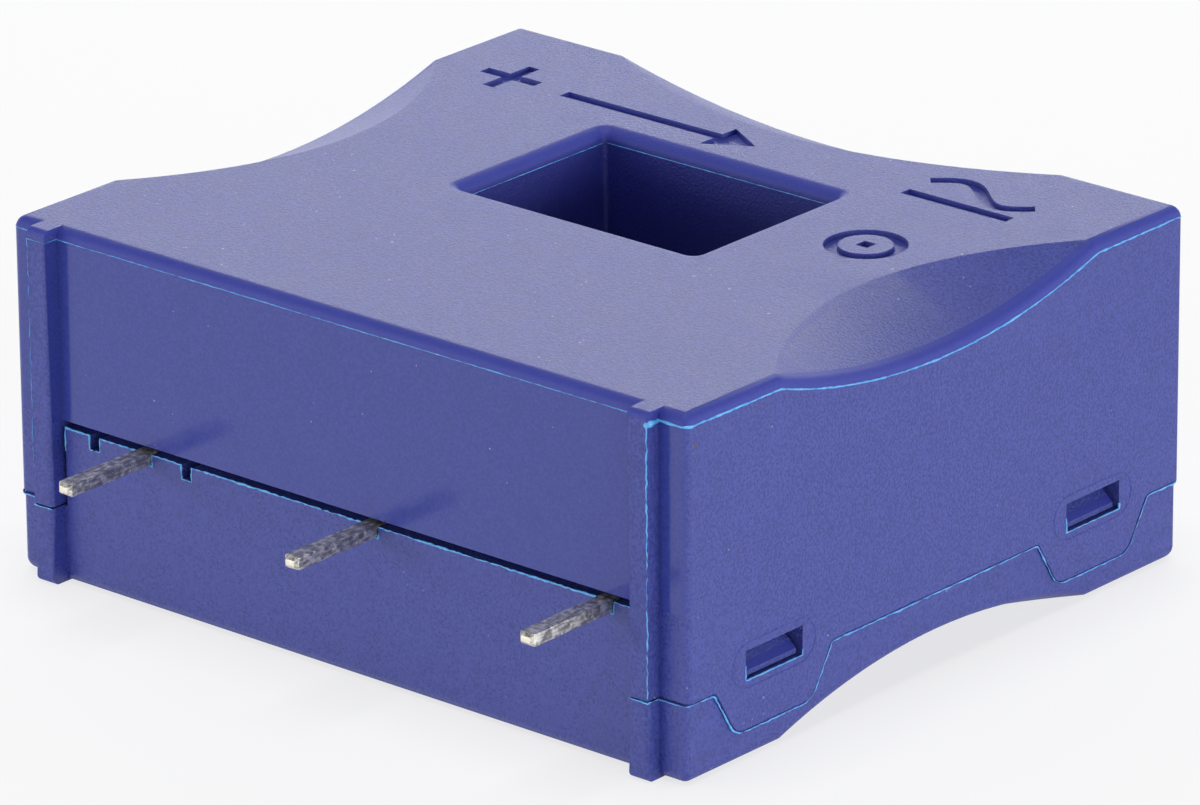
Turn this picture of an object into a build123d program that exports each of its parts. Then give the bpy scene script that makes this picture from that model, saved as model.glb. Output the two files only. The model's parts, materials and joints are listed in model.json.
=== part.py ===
from build123d import *
import os
from math import cos, radians, sin, tan

os.makedirs("parts", exist_ok=True)

# A closed-loop Hall effect current sensor for a circuit board, 50 mm wide.
# X runs along the pin side, Y from the pins to the back, Z through the window for the
# conductor. The part lies on its lid, and the origin is the middle of the footprint,
# pins included, on the surface that it lies on. All sizes are in millimetres.

# Housing
body_width = 50.0
body_depth = 43.6
body_height = 21.5
corner_radius = 0.45
rim_radius = 0.7
wall = 1.5
lid_inset = 0.12
case_foot = 4.8
parting_gap = 0.12
panel_parting = 9.93
panel_slot = 0.45
panel_side_gap = 0.3

# Window for the conductor
window_width = 17.5
window_depth = 12.7
window_setback = 19.85
window_corner = 0.3
mouth_radius = 0.85
lid_mouth_chamfer = 0.5
sleeve_wall = 1.2
collar_wall = 0.8
collar_height = 1.8

# Scoops in the long edges of both flat faces
side_scoop_half = 14.5
side_scoop_depth = 2.45
back_scoop_half = 17.5
back_scoop_depth = 2.3
scoop_tilt = 22.9

# Stand-off ribs on the pin side
rib_width = 1.35
rib_reach = 0.95
rib_inset = 2.05
rib_end_radius = 0.4

# Snap latches, two on each side
latch_setback = 7.3
latch_pitch = 28.2
latch_width = 4.85
latch_height = 1.75
latch_foot = 4.7
tab_foot = 1.85
tab_foot_width = 6.4
tab_top_width = 9.9
tab_foot_radius = 1.2
tab_top_radius = 0.5
tongue_play = 0.2
tongue_thickness = 1.0
nose_reach = 1.3
nose_land = 0.3
lip_thickness = 0.8
lip_height = 1.0

# Clearance between pieces that seat on each other
clearance = 0.1

# Terminal pins
pin_width = 1.05
pin_thickness = 0.75
pin_reach = 6.6
pin_pitch = 17.15
pin_shift = 2.0
pin_height = 9.23
pin_point = 0.22
notch_width = 0.8
notch_depth = 0.85
spare_notches = (-19.0, -11.9)

# Circuit board
board_thickness = 1.6
board_setback = 1.9
board_side_gap = 1.6
guide_depth = 2.6
guide_thickness = 0.9

# Magnetic core
core_width = 5.0
core_height = 7.0
sheet_count = 14
sheet_gap = 0.02
air_gap = 1.7
yoke_clearance = 0.8

# Coil formers and winding
former_wall = 0.7
flange_thickness = 0.8
flange_rim = 0.5
flange_corner = 1.0
winding_corner = 1.5
tape_thickness = 0.2
coil_gap = 0.3
coil_side_gap = 0.4
post_size = 0.6
post_inset = 2.2
boss_margin = 0.2
boss_length = 2.0
boss_size = 1.9
wire_diameter = 0.35
wire_inset = 0.9
pad_length = 6.0

# Hall chip in the air gap
chip_thickness = 1.5
chip_length = 3.0
chip_height = 4.1
chip_chamfer = 0.25
lead_count = 4
lead_size = 0.45
lead_solder_spread = 0.2
lead_pitch = 1.27
holder_width = 8.0
holder_wall = 1.0
holder_back_wall = 0.6

# Parts on the board
amplifier_width = 3.9
amplifier_height = 4.9
amplifier_thickness = 1.5
amplifier_standoff = 0.1
amplifier_chamfer = 0.3
legs_per_side = 4
leg_pitch = 1.27
leg_width = 0.42
leg_thickness = 0.2
leg_knee = 0.5
leg_span = 1.05
transistor_width = 8.0
transistor_height = 11.0
transistor_thickness = 2.7
transistor_offset = 9.8
transistor_top_gap = 0.7
transistor_chamfer = 0.35
tab_hole_radius = 1.6
tab_hole_drop = 3.2
transistor_leg_pitch = 2.29
transistor_leg_width = 0.75
transistor_leg_thickness = 0.5
transistor_leg_drop = 2.4
capacitor_radius = 2.4
capacitor_height = 5.4
capacitor_offset = 16.6
capacitor_top_gap = 1.0
diode_length = 4.3
diode_width = 2.6
diode_thickness = 2.2
diode_offset = 16.3
diode_foot_gap = 1.4
diode_draft = 5.0
chip_part_length = 2.0
chip_part_width = 1.25
resistor_thickness = 0.5
ceramic_thickness = 1.0
chip_part_column = 3.2
chip_part_row = 2.2
ceramic_offset = 4.2
solder_height = 0.7
solder_spread = 0.35
solder_edge = 0.1
tail_length = 1.0

# Places worked out from the sizes above
front_y = (pin_reach - body_depth) / 2
back_y = front_y + body_depth
centre_y = front_y + body_depth / 2
half_width = body_width / 2
inner_half = half_width - wall
roof = body_height - wall
lid_top = case_foot - parting_gap
lid_panel_top = panel_parting - panel_slot
window_near_y = front_y + window_setback
window_y = window_near_y + window_depth / 2
window_far_y = window_near_y + window_depth
sleeve_half = window_width / 2 + sleeve_wall
rib_x = half_width - rib_inset - rib_width / 2
rib_side = rib_x - rib_width / 2
latch_centres = (front_y + latch_setback, front_y + latch_setback + latch_pitch)
tongue_face = inner_half - clearance
tongue_top = latch_foot + latch_height - tongue_play
nose_foot = latch_foot + clearance
lip_root = wall / 2 + clearance + lip_thickness
lip_run = latch_pitch - tab_top_width - 2 * lip_thickness
pin_places = tuple(pin_shift + step * pin_pitch for step in (-1, 0, 1))
sleeve_foot = wall + clearance
board_front = front_y + wall + board_setback
board_back = board_front + board_thickness
board_half = inner_half - board_side_gap
board_foot = wall + clearance
board_top = roof - clearance
solder_tip = board_front - tail_length
middle_z = (wall + roof) / 2
former_reach = core_width / 2 + clearance + former_wall
coil_inner_x = sleeve_half + coil_gap
coil_outer_x = tongue_face - tongue_thickness - coil_side_gap
limb_x = (coil_inner_x + coil_outer_x) / 2
flange_reach = (coil_outer_x - coil_inner_x) / 2
winding_reach = flange_reach - flange_rim
winding_depth = winding_reach - former_reach
flange_rise = flange_reach + (core_height - core_width) / 2
post_rise = core_height / 2 + clearance + boss_margin + boss_size / 2
post_x = limb_x + flange_reach - post_inset
wire_outset = flange_reach - wire_inset
front_yoke_back = window_near_y - sleeve_wall - yoke_clearance
front_yoke_y = front_yoke_back - core_width / 2
back_yoke_front = window_far_y + sleeve_wall + yoke_clearance / 2
former_front = front_yoke_back + clearance
former_back = back_yoke_front - clearance
former_length = former_back - former_front
wire_notch_depth = flange_reach - wire_outset + wire_diameter
former_rise = core_height / 2 + clearance + former_wall
winding_rise = former_rise + winding_depth
winding_front = former_front + flange_thickness + clearance
winding_length = former_length - 2 * (flange_thickness + clearance)
core_foot = middle_z - core_height / 2
guide_foot = latch_foot + latch_height + wall / 2
flange_places = tuple(
    (side * limb_x, y)
    for side in (-1, 1)
    for y in (former_front + flange_thickness / 2, former_back - flange_thickness / 2)
)
sheet_pitch = core_height / sheet_count
core_half = limb_x + core_width / 2
post_levels = (middle_z - post_rise, middle_z + post_rise)
lead_levels = tuple(middle_z + (index - (lead_count - 1) / 2) * lead_pitch for index in range(lead_count))
transistor_foot = board_top - transistor_top_gap - transistor_height
leg_level = transistor_foot - transistor_leg_drop
tab_hole_level = transistor_foot + transistor_height - tab_hole_drop
amplifier_rise = (board_foot + lead_levels[0] - lead_size / 2) / 2
chip_part_rise = (board_top + lead_levels[-1] + lead_size / 2) / 2
capacitor_rise = board_top - capacitor_top_gap - capacitor_radius
diode_rise = board_foot + diode_foot_gap + diode_width / 2
leg_places = tuple(
    side * transistor_offset + step * transistor_leg_pitch for side in (-1, 1) for step in (-1, 0, 1)
)


def upright(y):
    """The upright plane at depth y: its x is X, its y is Z, and it faces the pin side."""
    return Plane.XZ.offset(-y)


def outline(inset):
    """The housing's footprint, drawn in by inset at the sides and the back."""
    with BuildSketch() as footprint:
        with Locations((0, centre_y - inset / 2)):
            Rectangle(body_width - 2 * inset, body_depth - inset)
    return footprint.sketch


def inner_outline():
    """The hollow inside the walls, less the sleeve round the window."""
    with BuildSketch() as hollow:
        with Locations((0, centre_y)):
            Rectangle(body_width - 2 * wall, body_depth - 2 * wall)
        with Locations((0, window_y)):
            RectangleRounded(
                2 * sleeve_half,
                window_depth + 2 * sleeve_wall,
                window_corner + sleeve_wall,
                mode=Mode.SUBTRACT,
            )
    return hollow.sketch


def window_outline(margin):
    """The window's plan, larger all round by margin."""
    with BuildSketch() as opening:
        with Locations((0, window_y)):
            RectangleRounded(
                window_width + 2 * margin,
                window_depth + 2 * margin,
                window_corner + margin,
            )
    return opening.sketch


def coil_outline(side, reach, rise, corner):
    """A rectangle about one limb of the core, seen along it, with its corners cut off."""
    with BuildSketch() as section:
        with Locations((side * limb_x, middle_z)):
            Rectangle(2 * reach, 2 * rise)
        chamfer(section.vertices(), corner)
    return section.sketch


def scoop_planes(level, up):
    """Planes across the axes of the three scoops in the flat face at height level, with
    each scoop's radius. A scoop is a cylinder whose axis leans in and away from the body."""
    lean = radians(scoop_tilt)
    edges = (
        (Vector(half_width, centre_y, 0), Vector(-1, 0, 0), side_scoop_half, side_scoop_depth),
        (Vector(-half_width, centre_y, 0), Vector(1, 0, 0), side_scoop_half, side_scoop_depth),
        (Vector(0, back_y, 0), Vector(0, -1, 0), back_scoop_half, back_scoop_depth),
    )
    planes = []
    for edge, inward, half_length, depth in edges:
        sagitta = depth * cos(lean)
        radius = (half_length**2 + sagitta**2) / (2 * sagitta)
        along = inward * cos(lean) + Vector(0, 0, up * sin(lean))
        normal = inward * -sin(lean) + Vector(0, 0, up * cos(lean))
        lowest = edge + Vector(0, 0, level - up * depth)
        planes.append((Plane(lowest + normal * radius, z_dir=along), radius))
    return planes


scoop_length = 2 * side_scoop_depth / tan(radians(scoop_tilt))


def on_outer_rim(edge, level):
    """Whether an edge runs along the housing's outer edge near the height level."""
    middle = edge @ 0.5
    near_level = abs(middle.Z - level) < side_scoop_depth + clearance
    at_side = abs(middle.X) > half_width - corner_radius
    at_end = middle.Y > back_y - corner_radius or middle.Y < front_y + corner_radius
    return near_level and (at_side or at_end)


def at_corner(edge):
    """Whether an edge of the case runs up one of its corners, or over the rim there."""
    middle = edge @ 0.5
    rises = abs((edge @ 1).Z - (edge @ 0).Z) > clearance
    beside_x = half_width - abs(middle.X) < rim_radius
    beside_y = min(middle.Y - front_y, back_y - middle.Y) < rim_radius
    return rises and beside_x and beside_y


def tab_outline(margin):
    """A latch tab seen from the side about its own middle, with some of the wall above."""
    shoulder_end = tab_top_width / 2 + 2 * tab_top_radius
    with BuildSketch() as tab:
        with BuildLine():
            Polyline(
                (-shoulder_end, case_foot),
                (-tab_top_width / 2, case_foot),
                (-tab_foot_width / 2, tab_foot),
                (tab_foot_width / 2, tab_foot),
                (tab_top_width / 2, case_foot),
                (shoulder_end, case_foot),
                (shoulder_end, case_foot + wall),
                (-shoulder_end, case_foot + wall),
                close=True,
            )
        make_face()
        fillet(tab.vertices().group_by(Axis.Y)[0], tab_foot_radius)
        shoulders = tab.vertices().filter_by(
            lambda point: abs(point.Y - case_foot) < clearance
            and abs(point.X) < shoulder_end - tab_top_radius
        )
        fillet(shoulders, tab_top_radius)
        if margin > 0:
            offset(amount=margin, kind=Kind.INTERSECTION)
    return tab.sketch


def standoff_rib(foot, top, rounded_end):
    """A stretch of stand-off rib about X = 0, whose front edge is rounded at one end."""
    with BuildPart() as rib:
        with BuildSketch(Plane.XY.offset(foot)):
            with Locations((0, front_y - rib_reach)):
                Rectangle(rib_width, rib_reach + rim_radius, align=(Align.CENTER, Align.MIN))
        extrude(amount=top - foot)
        front_edges = rib.edges().group_by(Axis.Y)[0]
        fillet(front_edges.sort_by(Axis.Z)[-1 if rounded_end == top else 0], rib_end_radius)
    return rib.part


case_plan = outline(0)
with BuildSketch() as lid_plan:
    add(outline(lid_inset))
    fillet(lid_plan.vertices(), corner_radius)
hollow_plan = inner_outline()
window_plan = window_outline(0)
sleeve_plan = window_outline(sleeve_wall)
collar_seat_plan = window_outline(sleeve_wall + clearance)
collar_plan = window_outline(sleeve_wall + clearance + collar_wall)
tab_plan = tab_outline(0)
pocket_plan = tab_outline(parting_gap)

# The hollow that the case and the lid share, which follows the scoops under the wall
with BuildPart() as hollow:
    with BuildSketch(Plane.XY.offset(wall)):
        add(hollow_plan)
    extrude(amount=roof - wall)
    for level, up in ((body_height, 1), (0, -1)):
        for plane, radius in scoop_planes(level, up):
            with BuildSketch(plane):
                Circle(radius + wall)
            extrude(amount=scoop_length, both=True, mode=Mode.SUBTRACT)

# Stand-off rib: its upper stretch belongs to the case and its lower one to the lid
case_rib = standoff_rib(case_foot, body_height, body_height)
lid_rib = standoff_rib(0, lid_top, 0)

# Case: the deep moulding, with the sleeve, the ribs, the tabs and the latch windows
with BuildPart() as case:
    with BuildSketch(Plane.XY.offset(case_foot)):
        add(case_plan)
    extrude(amount=body_height - case_foot)
    for plane, radius in scoop_planes(body_height, 1):
        with BuildSketch(plane):
            Circle(radius)
        extrude(amount=scoop_length, both=True, mode=Mode.SUBTRACT)
    fillet(case.edges().filter_by(lambda edge: on_outer_rim(edge, body_height)), rim_radius)
    fillet(case.edges().filter_by(at_corner), corner_radius)
    add(hollow.part, mode=Mode.SUBTRACT)
    # Sleeve and window, with a rounded mouth
    with BuildSketch(Plane.XY.offset(sleeve_foot)):
        add(sleeve_plan)
    extrude(amount=roof + wall / 2 - sleeve_foot)
    with BuildSketch(Plane.XY.offset(wall)):
        add(window_plan)
    extrude(amount=body_height, mode=Mode.SUBTRACT)
    mouth = case.faces().sort_by(Axis.Z)[-1].inner_wires().edges()
    fillet(mouth, mouth_radius)
    # Opening in the pin side for the lid's panel
    with BuildSketch(upright(front_y - rib_reach)):
        with Locations((0, panel_parting)):
            Rectangle(2 * rib_side, panel_parting, align=(Align.CENTER, Align.MAX))
    extrude(amount=-(rib_reach + wall + clearance), mode=Mode.SUBTRACT)
    # Stand-off ribs
    for side in (-1, 1):
        with Locations((side * rib_x, 0, 0)):
            add(case_rib)
    # Tabs at the sides, and the latch windows through them
    for side in (-1, 1):
        for latch_y in latch_centres:
            with BuildSketch(Plane.YZ.offset(side * half_width)):
                with Locations((latch_y, 0)):
                    add(tab_plan)
            extrude(amount=-side * wall)
            with BuildSketch(Plane.YZ.offset(side * half_width)):
                with Locations((latch_y, latch_foot)):
                    Rectangle(latch_width, latch_height, align=(Align.CENTER, Align.MIN))
            extrude(amount=-side * wall, mode=Mode.SUBTRACT)
    # Guides for the board on the side walls, clear of the latch tongues
    for side in (-1, 1):
        for guide_y in (board_front - clearance - guide_thickness, board_back + clearance):
            with BuildSketch(Plane.XY.offset(guide_foot)):
                with Locations((side * (inner_half + wall / 2), guide_y)):
                    Rectangle(
                        guide_depth + wall / 2,
                        guide_thickness,
                        align=(Align.MAX if side > 0 else Align.MIN, Align.MIN),
                    )
            extrude(amount=roof + wall / 2 - guide_foot)
    # Pads that hold the formers' flanges down from the roof
    with BuildSketch(Plane.XY.offset(middle_z + flange_rise + clearance)):
        with Locations(flange_places):
            Rectangle(pad_length, flange_thickness)
    extrude(amount=roof + wall / 2 - (middle_z + flange_rise + clearance))

case.part.label = "case"
export_step(case.part, "parts/case.step")

# Lid: the shallow moulding, with the notched panel, the snap tongues and the collar
with BuildPart() as lid:
    with BuildSketch():
        add(lid_plan.sketch)
    extrude(amount=lid_top)
    for plane, radius in scoop_planes(0, -1):
        with BuildSketch(plane):
            Circle(radius)
        extrude(amount=scoop_length, both=True, mode=Mode.SUBTRACT)
    fillet(lid.edges().filter_by(lambda edge: on_outer_rim(edge, 0)), rim_radius)
    add(hollow.part, mode=Mode.SUBTRACT)
    with BuildSketch(Plane.XY.offset(wall)):
        add(collar_seat_plan)
    extrude(amount=body_height, mode=Mode.SUBTRACT)
    with BuildSketch(Plane.XY.offset(wall)):
        add(collar_plan)
        add(collar_seat_plan, mode=Mode.SUBTRACT)
    extrude(amount=collar_height)
    with BuildSketch():
        add(window_plan)
    extrude(amount=body_height, mode=Mode.SUBTRACT)
    chamfer(lid.faces().sort_by(Axis.Z)[0].inner_wires().edges(), lid_mouth_chamfer)
    # Panel that closes the pin side up to the slot, with notches in its top edge
    with BuildSketch(Plane.XY.offset(wall)):
        with Locations((0, front_y)):
            Rectangle(2 * (rib_side - panel_side_gap), wall, align=(Align.CENTER, Align.MIN))
    extrude(amount=lid_panel_top - wall)
    with BuildSketch(upright(front_y)):
        with Locations(*((x, pin_height) for x in pin_places)):
            Rectangle(pin_width + 2 * clearance, pin_thickness + clearance)
        with Locations(*((x, lid_panel_top) for x in spare_notches)):
            Rectangle(notch_width, 2 * notch_depth)
    extrude(amount=-wall, mode=Mode.SUBTRACT)
    for side in (-1, 1):
        with Locations((side * rib_x, 0, 0)):
            add(lid_rib)
    # Lip inside the case's wall, at the back and between the latches
    lip_face = inner_half - clearance
    with BuildSketch(Plane.XY.offset(lid_top - lip_height)):
        with Locations((0, back_y - wall / 2)):
            Rectangle(2 * back_scoop_half, lip_root, align=(Align.CENTER, Align.MAX))
        for side in (-1, 1):
            with Locations((side * (half_width - wall / 2), sum(latch_centres) / 2)):
                Rectangle(lip_root, lip_run, align=(Align.MAX if side > 0 else Align.MIN, Align.CENTER))
    extrude(amount=lip_height)
    with BuildSketch(Plane.XY.offset(lid_top)):
        with Locations((0, back_y - wall - clearance)):
            Rectangle(2 * back_scoop_half, lip_thickness, align=(Align.CENTER, Align.MAX))
        for side in (-1, 1):
            with Locations((side * lip_face, sum(latch_centres) / 2)):
                Rectangle(
                    lip_thickness, lip_run, align=(Align.MAX if side > 0 else Align.MIN, Align.CENTER)
                )
    extrude(amount=lip_height)
    # Pockets for the case's tabs, and a snap tongue behind each
    for side in (-1, 1):
        for latch_y in latch_centres:
            with BuildSketch(Plane.YZ.offset(side * half_width)):
                with Locations((latch_y, 0)):
                    add(pocket_plan)
            extrude(amount=-side * (wall + clearance), mode=Mode.SUBTRACT)
            with BuildSketch(upright(latch_y)):
                with BuildLine():
                    Polyline(
                        (side * (tongue_face - tongue_thickness), wall / 2),
                        (side * (tongue_face - tongue_thickness), tongue_top),
                        (side * tongue_face, tongue_top),
                        (side * (tongue_face + nose_reach), nose_foot + nose_land),
                        (side * (tongue_face + nose_reach), nose_foot),
                        (side * tongue_face, nose_foot),
                        (side * tongue_face, wall / 2),
                        close=True,
                    )
                make_face()
            extrude(amount=latch_width / 2 - tongue_play, both=True)
    # Pads under the formers' flanges
    with BuildSketch(Plane.XY.offset(wall / 2)):
        with Locations(flange_places):
            Rectangle(pad_length, flange_thickness)
    extrude(amount=middle_z - flange_rise - clearance - wall / 2)

lid.part.label = "lid"
export_step(lid.part, "parts/lid.step")

# Terminal pins: straight square wire with pointed ends, through the board to the back
for name, pin_x in zip(("left", "middle", "right"), pin_places):
    with BuildPart() as pin:
        with BuildSketch(upright(front_y - pin_reach)):
            with Locations((pin_x, pin_height)):
                Rectangle(pin_width, pin_thickness)
        extrude(amount=-(board_back + tail_length - front_y + pin_reach))
        chamfer(pin.faces().sort_by(Axis.Y)[0].edges(), pin_point)
    pin.part.label = f"pin_{name}"
    export_step(pin.part, f"parts/pin_{name}.step")

# Board, upright behind the pin side, with a hole for each lead that passes through it
with BuildPart() as circuit_board:
    with BuildSketch(upright(board_front)):
        with Locations((0, (board_foot + board_top) / 2)):
            Rectangle(2 * board_half, board_top - board_foot)
        with Locations(*((x, pin_height) for x in pin_places)):
            Rectangle(pin_width + clearance, pin_thickness + clearance, mode=Mode.SUBTRACT)
        with Locations(*((side * post_x, z) for side in (-1, 1) for z in post_levels)):
            Rectangle(post_size + clearance, post_size + clearance, mode=Mode.SUBTRACT)
        with Locations(*((0, z) for z in lead_levels)):
            Rectangle(lead_size + clearance, lead_size + clearance, mode=Mode.SUBTRACT)
        with Locations(*((x, leg_level) for x in leg_places)):
            Rectangle(
                transistor_leg_width + clearance,
                transistor_leg_thickness + clearance,
                mode=Mode.SUBTRACT,
            )
    extrude(amount=-board_thickness)

circuit_board.part.label = "circuit_board"
export_step(circuit_board.part, "parts/circuit_board.step")

# Solder fillets on the board's pin side, each round its own lead
solder_joints = (
    *((x, pin_height, pin_width, pin_thickness, solder_spread) for x in pin_places),
    *((side * post_x, z, post_size, post_size, solder_spread) for side in (-1, 1) for z in post_levels),
    *((0, z, lead_size, lead_size, lead_solder_spread) for z in lead_levels),
    *(
        (x, leg_level, transistor_leg_width, transistor_leg_thickness, solder_spread)
        for x in leg_places
    ),
)
with BuildPart() as solder:
    for x, z, width, thickness, spread in solder_joints:
        foot_x = width + 2 * spread
        foot_z = thickness + 2 * spread
        slope = spread - solder_edge
        with Locations((x, board_front - solder_height / 2, z)):
            Wedge(
                foot_x,
                solder_height,
                foot_z,
                slope,
                slope,
                foot_x - slope,
                foot_z - slope,
                rotation=(180, 0, 0),
            )
            Box(width, solder_height, thickness, mode=Mode.SUBTRACT)

solder.part.label = "solder_joints"
export_step(solder.part, "parts/solder_joints.step")

# Core: a stack of U-shaped sheets round the window, open towards the pins
with BuildPart() as core_laminations:
    for index in range(sheet_count):
        with BuildSketch(Plane.XY.offset(core_foot + index * sheet_pitch)):
            with Locations((0, front_yoke_back)):
                Rectangle(
                    2 * core_half,
                    back_yoke_front + core_width - front_yoke_back,
                    align=(Align.CENTER, Align.MIN),
                )
                Rectangle(
                    2 * (core_half - core_width),
                    back_yoke_front - front_yoke_back,
                    align=(Align.CENTER, Align.MIN),
                    mode=Mode.SUBTRACT,
                )
        extrude(amount=sheet_pitch - sheet_gap)

core_laminations.part.label = "core_laminations"
export_step(core_laminations.part, "parts/core_laminations.step")

# The coil formers, windings, tapes and the yokes that close the core, one of each a side
for name, side in (("left", -1), ("right", 1)):
    flange_plan = coil_outline(side, flange_reach, flange_rise, flange_corner)
    winding_plan = coil_outline(side, winding_reach, winding_rise, winding_corner)
    tape_seat_plan = coil_outline(
        side, winding_reach + clearance / 2, winding_rise + clearance / 2, winding_corner
    )
    tape_plan = coil_outline(
        side,
        winding_reach + clearance / 2 + tape_thickness,
        winding_rise + clearance / 2 + tape_thickness,
        winding_corner,
    )
    with BuildPart() as yoke:
        for index in range(sheet_count):
            with BuildSketch(Plane.XY.offset(core_foot + index * sheet_pitch)):
                with Locations((side * (air_gap / 2 + core_half) / 2, front_yoke_y)):
                    Rectangle(core_half - air_gap / 2, core_width)
            extrude(amount=sheet_pitch - sheet_gap)
    yoke.part.label = f"yoke_{name}"
    export_step(yoke.part, f"parts/yoke_{name}.step")

    with BuildPart() as bobbin:
        with BuildSketch(upright(former_front)):
            add(flange_plan)
            with Locations(*((side * (limb_x + flange_reach), z) for z in post_levels)):
                Rectangle(2 * wire_notch_depth, 2 * wire_diameter, mode=Mode.SUBTRACT)
        extrude(amount=-flange_thickness)
        with BuildSketch(upright(former_back)):
            add(flange_plan)
        extrude(amount=flange_thickness)
        with BuildSketch(upright(former_front)):
            with Locations((side * limb_x, middle_z)):
                Rectangle(2 * former_reach, 2 * former_rise)
        extrude(amount=-former_length)
        with BuildSketch(upright(former_front)):
            with Locations(*((side * post_x, z) for z in post_levels)):
                Rectangle(boss_size, boss_size)
        extrude(amount=boss_length)
        with BuildSketch(upright(former_front)):
            with Locations((side * limb_x, middle_z)):
                Rectangle(core_width + 2 * clearance, core_height + 2 * clearance)
        extrude(amount=-former_length, mode=Mode.SUBTRACT)
        with BuildSketch(upright(former_front + flange_thickness / 2)):
            with Locations(*((side * post_x, z) for z in post_levels)):
                Rectangle(post_size, post_size)
        extrude(amount=boss_length + flange_thickness, mode=Mode.SUBTRACT)
    bobbin.part.label = f"bobbin_{name}"
    export_step(bobbin.part, f"parts/bobbin_{name}.step")

    with BuildPart() as winding:
        with BuildSketch(upright(winding_front)):
            add(winding_plan)
            with Locations((side * limb_x, middle_z)):
                Rectangle(2 * former_reach + clearance, 2 * former_rise + clearance, mode=Mode.SUBTRACT)
        extrude(amount=-winding_length)
    winding.part.label = f"winding_{name}"
    export_step(winding.part, f"parts/winding_{name}.step")

    with BuildPart() as tape:
        with BuildSketch(upright(winding_front)):
            add(tape_plan)
            add(tape_seat_plan, mode=Mode.SUBTRACT)
        extrude(amount=-winding_length)
    tape.part.label = f"tape_{name}"
    export_step(tape.part, f"parts/tape_{name}.step")

# Square posts pressed in the formers' bosses, long enough to reach through the board
with BuildPart() as coil_posts:
    with BuildSketch(upright(solder_tip)):
        with Locations(*((side * post_x, z) for side in (-1, 1) for z in post_levels)):
            Rectangle(post_size, post_size)
    extrude(amount=-(former_front + flange_thickness / 2 - solder_tip))

coil_posts.part.label = "coil_posts"
export_step(coil_posts.part, "parts/coil_posts.step")

# Winding ends, each led out through a notch in the flange and turned in to its post
with BuildPart() as coil_leads:
    for side in (-1, 1):
        for z in post_levels:
            wire_x = side * (limb_x + wire_outset)
            turn_y = former_front - boss_length - 2 * wire_diameter
            with BuildLine() as route:
                Polyline(
                    (wire_x, winding_front, z),
                    (wire_x, turn_y, z),
                    (side * (post_x + post_size / 2), turn_y, z),
                )
            with BuildSketch(upright(winding_front)):
                with Locations((wire_x, z)):
                    RegularPolygon(wire_diameter / 2, 8)
            sweep(path=route.line, transition=Transition.RIGHT)

coil_leads.part.label = "coil_leads"
export_step(coil_leads.part, "parts/coil_leads.step")

# Hall chip in the air gap, its leads to the board, and the moulding that holds it there
with BuildPart() as hall_element:
    with Locations((0, front_yoke_y, middle_z)):
        Box(chip_thickness, chip_length, chip_height)
    chamfer(hall_element.faces().sort_by(Axis.Y)[-1].edges().filter_by(Axis.Z), chip_chamfer)

hall_element.part.label = "hall_element"
export_step(hall_element.part, "parts/hall_element.step")

with BuildPart() as hall_leads:
    with BuildSketch(upright(solder_tip)):
        with Locations(*((0, z) for z in lead_levels)):
            Rectangle(lead_size, lead_size)
    extrude(amount=-(front_yoke_y - chip_length / 2 - solder_tip))

hall_leads.part.label = "hall_leads"
export_step(hall_leads.part, "parts/hall_leads.step")

with BuildPart() as hall_holder:
    holder_front = front_yoke_back - core_width - clearance - holder_wall
    holder_depth = core_width + 2 * clearance + holder_wall + holder_back_wall
    with BuildSketch(upright(holder_front)):
        with Locations((0, middle_z)):
            Rectangle(holder_width, core_height + 2 * (clearance + holder_wall))
    extrude(amount=-holder_depth)
    for side in (-1, 1):
        with BuildSketch(Plane.YZ.offset(side * (air_gap / 2 - clearance))):
            with Locations((front_yoke_y, middle_z)):
                Rectangle(core_width + 2 * clearance, core_height + 2 * clearance)
        extrude(amount=side * holder_width, mode=Mode.SUBTRACT)
    with Locations((0, front_yoke_y, middle_z)):
        Box(
            air_gap,
            chip_length + clearance,
            chip_height + clearance,
            mode=Mode.SUBTRACT,
        )
    with BuildSketch(upright(holder_front)):
        with Locations((0, middle_z)):
            Rectangle(lead_size + clearance, (lead_count - 1) * lead_pitch + lead_size + clearance)
    extrude(amount=-(front_yoke_y - holder_front), mode=Mode.SUBTRACT)

hall_holder.part.label = "hall_holder"
export_step(hall_holder.part, "parts/hall_holder.step")

# Amplifier chip on the board's back, with four gull-wing legs a side
with BuildPart() as amplifier_chip:
    with Locations((0, board_back + amplifier_standoff, amplifier_rise)):
        Box(
            amplifier_width,
            amplifier_thickness,
            amplifier_height,
            align=(Align.CENTER, Align.MIN, Align.CENTER),
        )
    chamfer(amplifier_chip.faces().sort_by(Axis.Y)[-1].edges().filter_by(Axis.Z), amplifier_chamfer)

amplifier_chip.part.label = "amplifier_chip"
export_step(amplifier_chip.part, "parts/amplifier_chip.step")

with BuildPart() as amplifier_legs:
    shoulder = board_back + amplifier_thickness / 2
    edge_x = amplifier_width / 2
    knee_x = edge_x + leg_knee
    foot_x = edge_x + leg_span
    for side in (-1, 1):
        for index in range(legs_per_side):
            leg_z = amplifier_rise + (index - (legs_per_side - 1) / 2) * leg_pitch
            with BuildSketch(Plane.XY.offset(leg_z - leg_width / 2)):
                with BuildLine():
                    Polyline(
                        (side * edge_x, shoulder),
                        (side * knee_x, shoulder),
                        (side * knee_x, board_back + leg_thickness),
                        (side * foot_x, board_back + leg_thickness),
                        (side * foot_x, board_back),
                        (side * (knee_x - leg_thickness), board_back),
                        (side * (knee_x - leg_thickness), shoulder - leg_thickness),
                        (side * edge_x, shoulder - leg_thickness),
                        close=True,
                    )
                make_face()
            extrude(amount=leg_width)

amplifier_legs.part.label = "amplifier_legs"
export_step(amplifier_legs.part, "parts/amplifier_legs.step")

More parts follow.
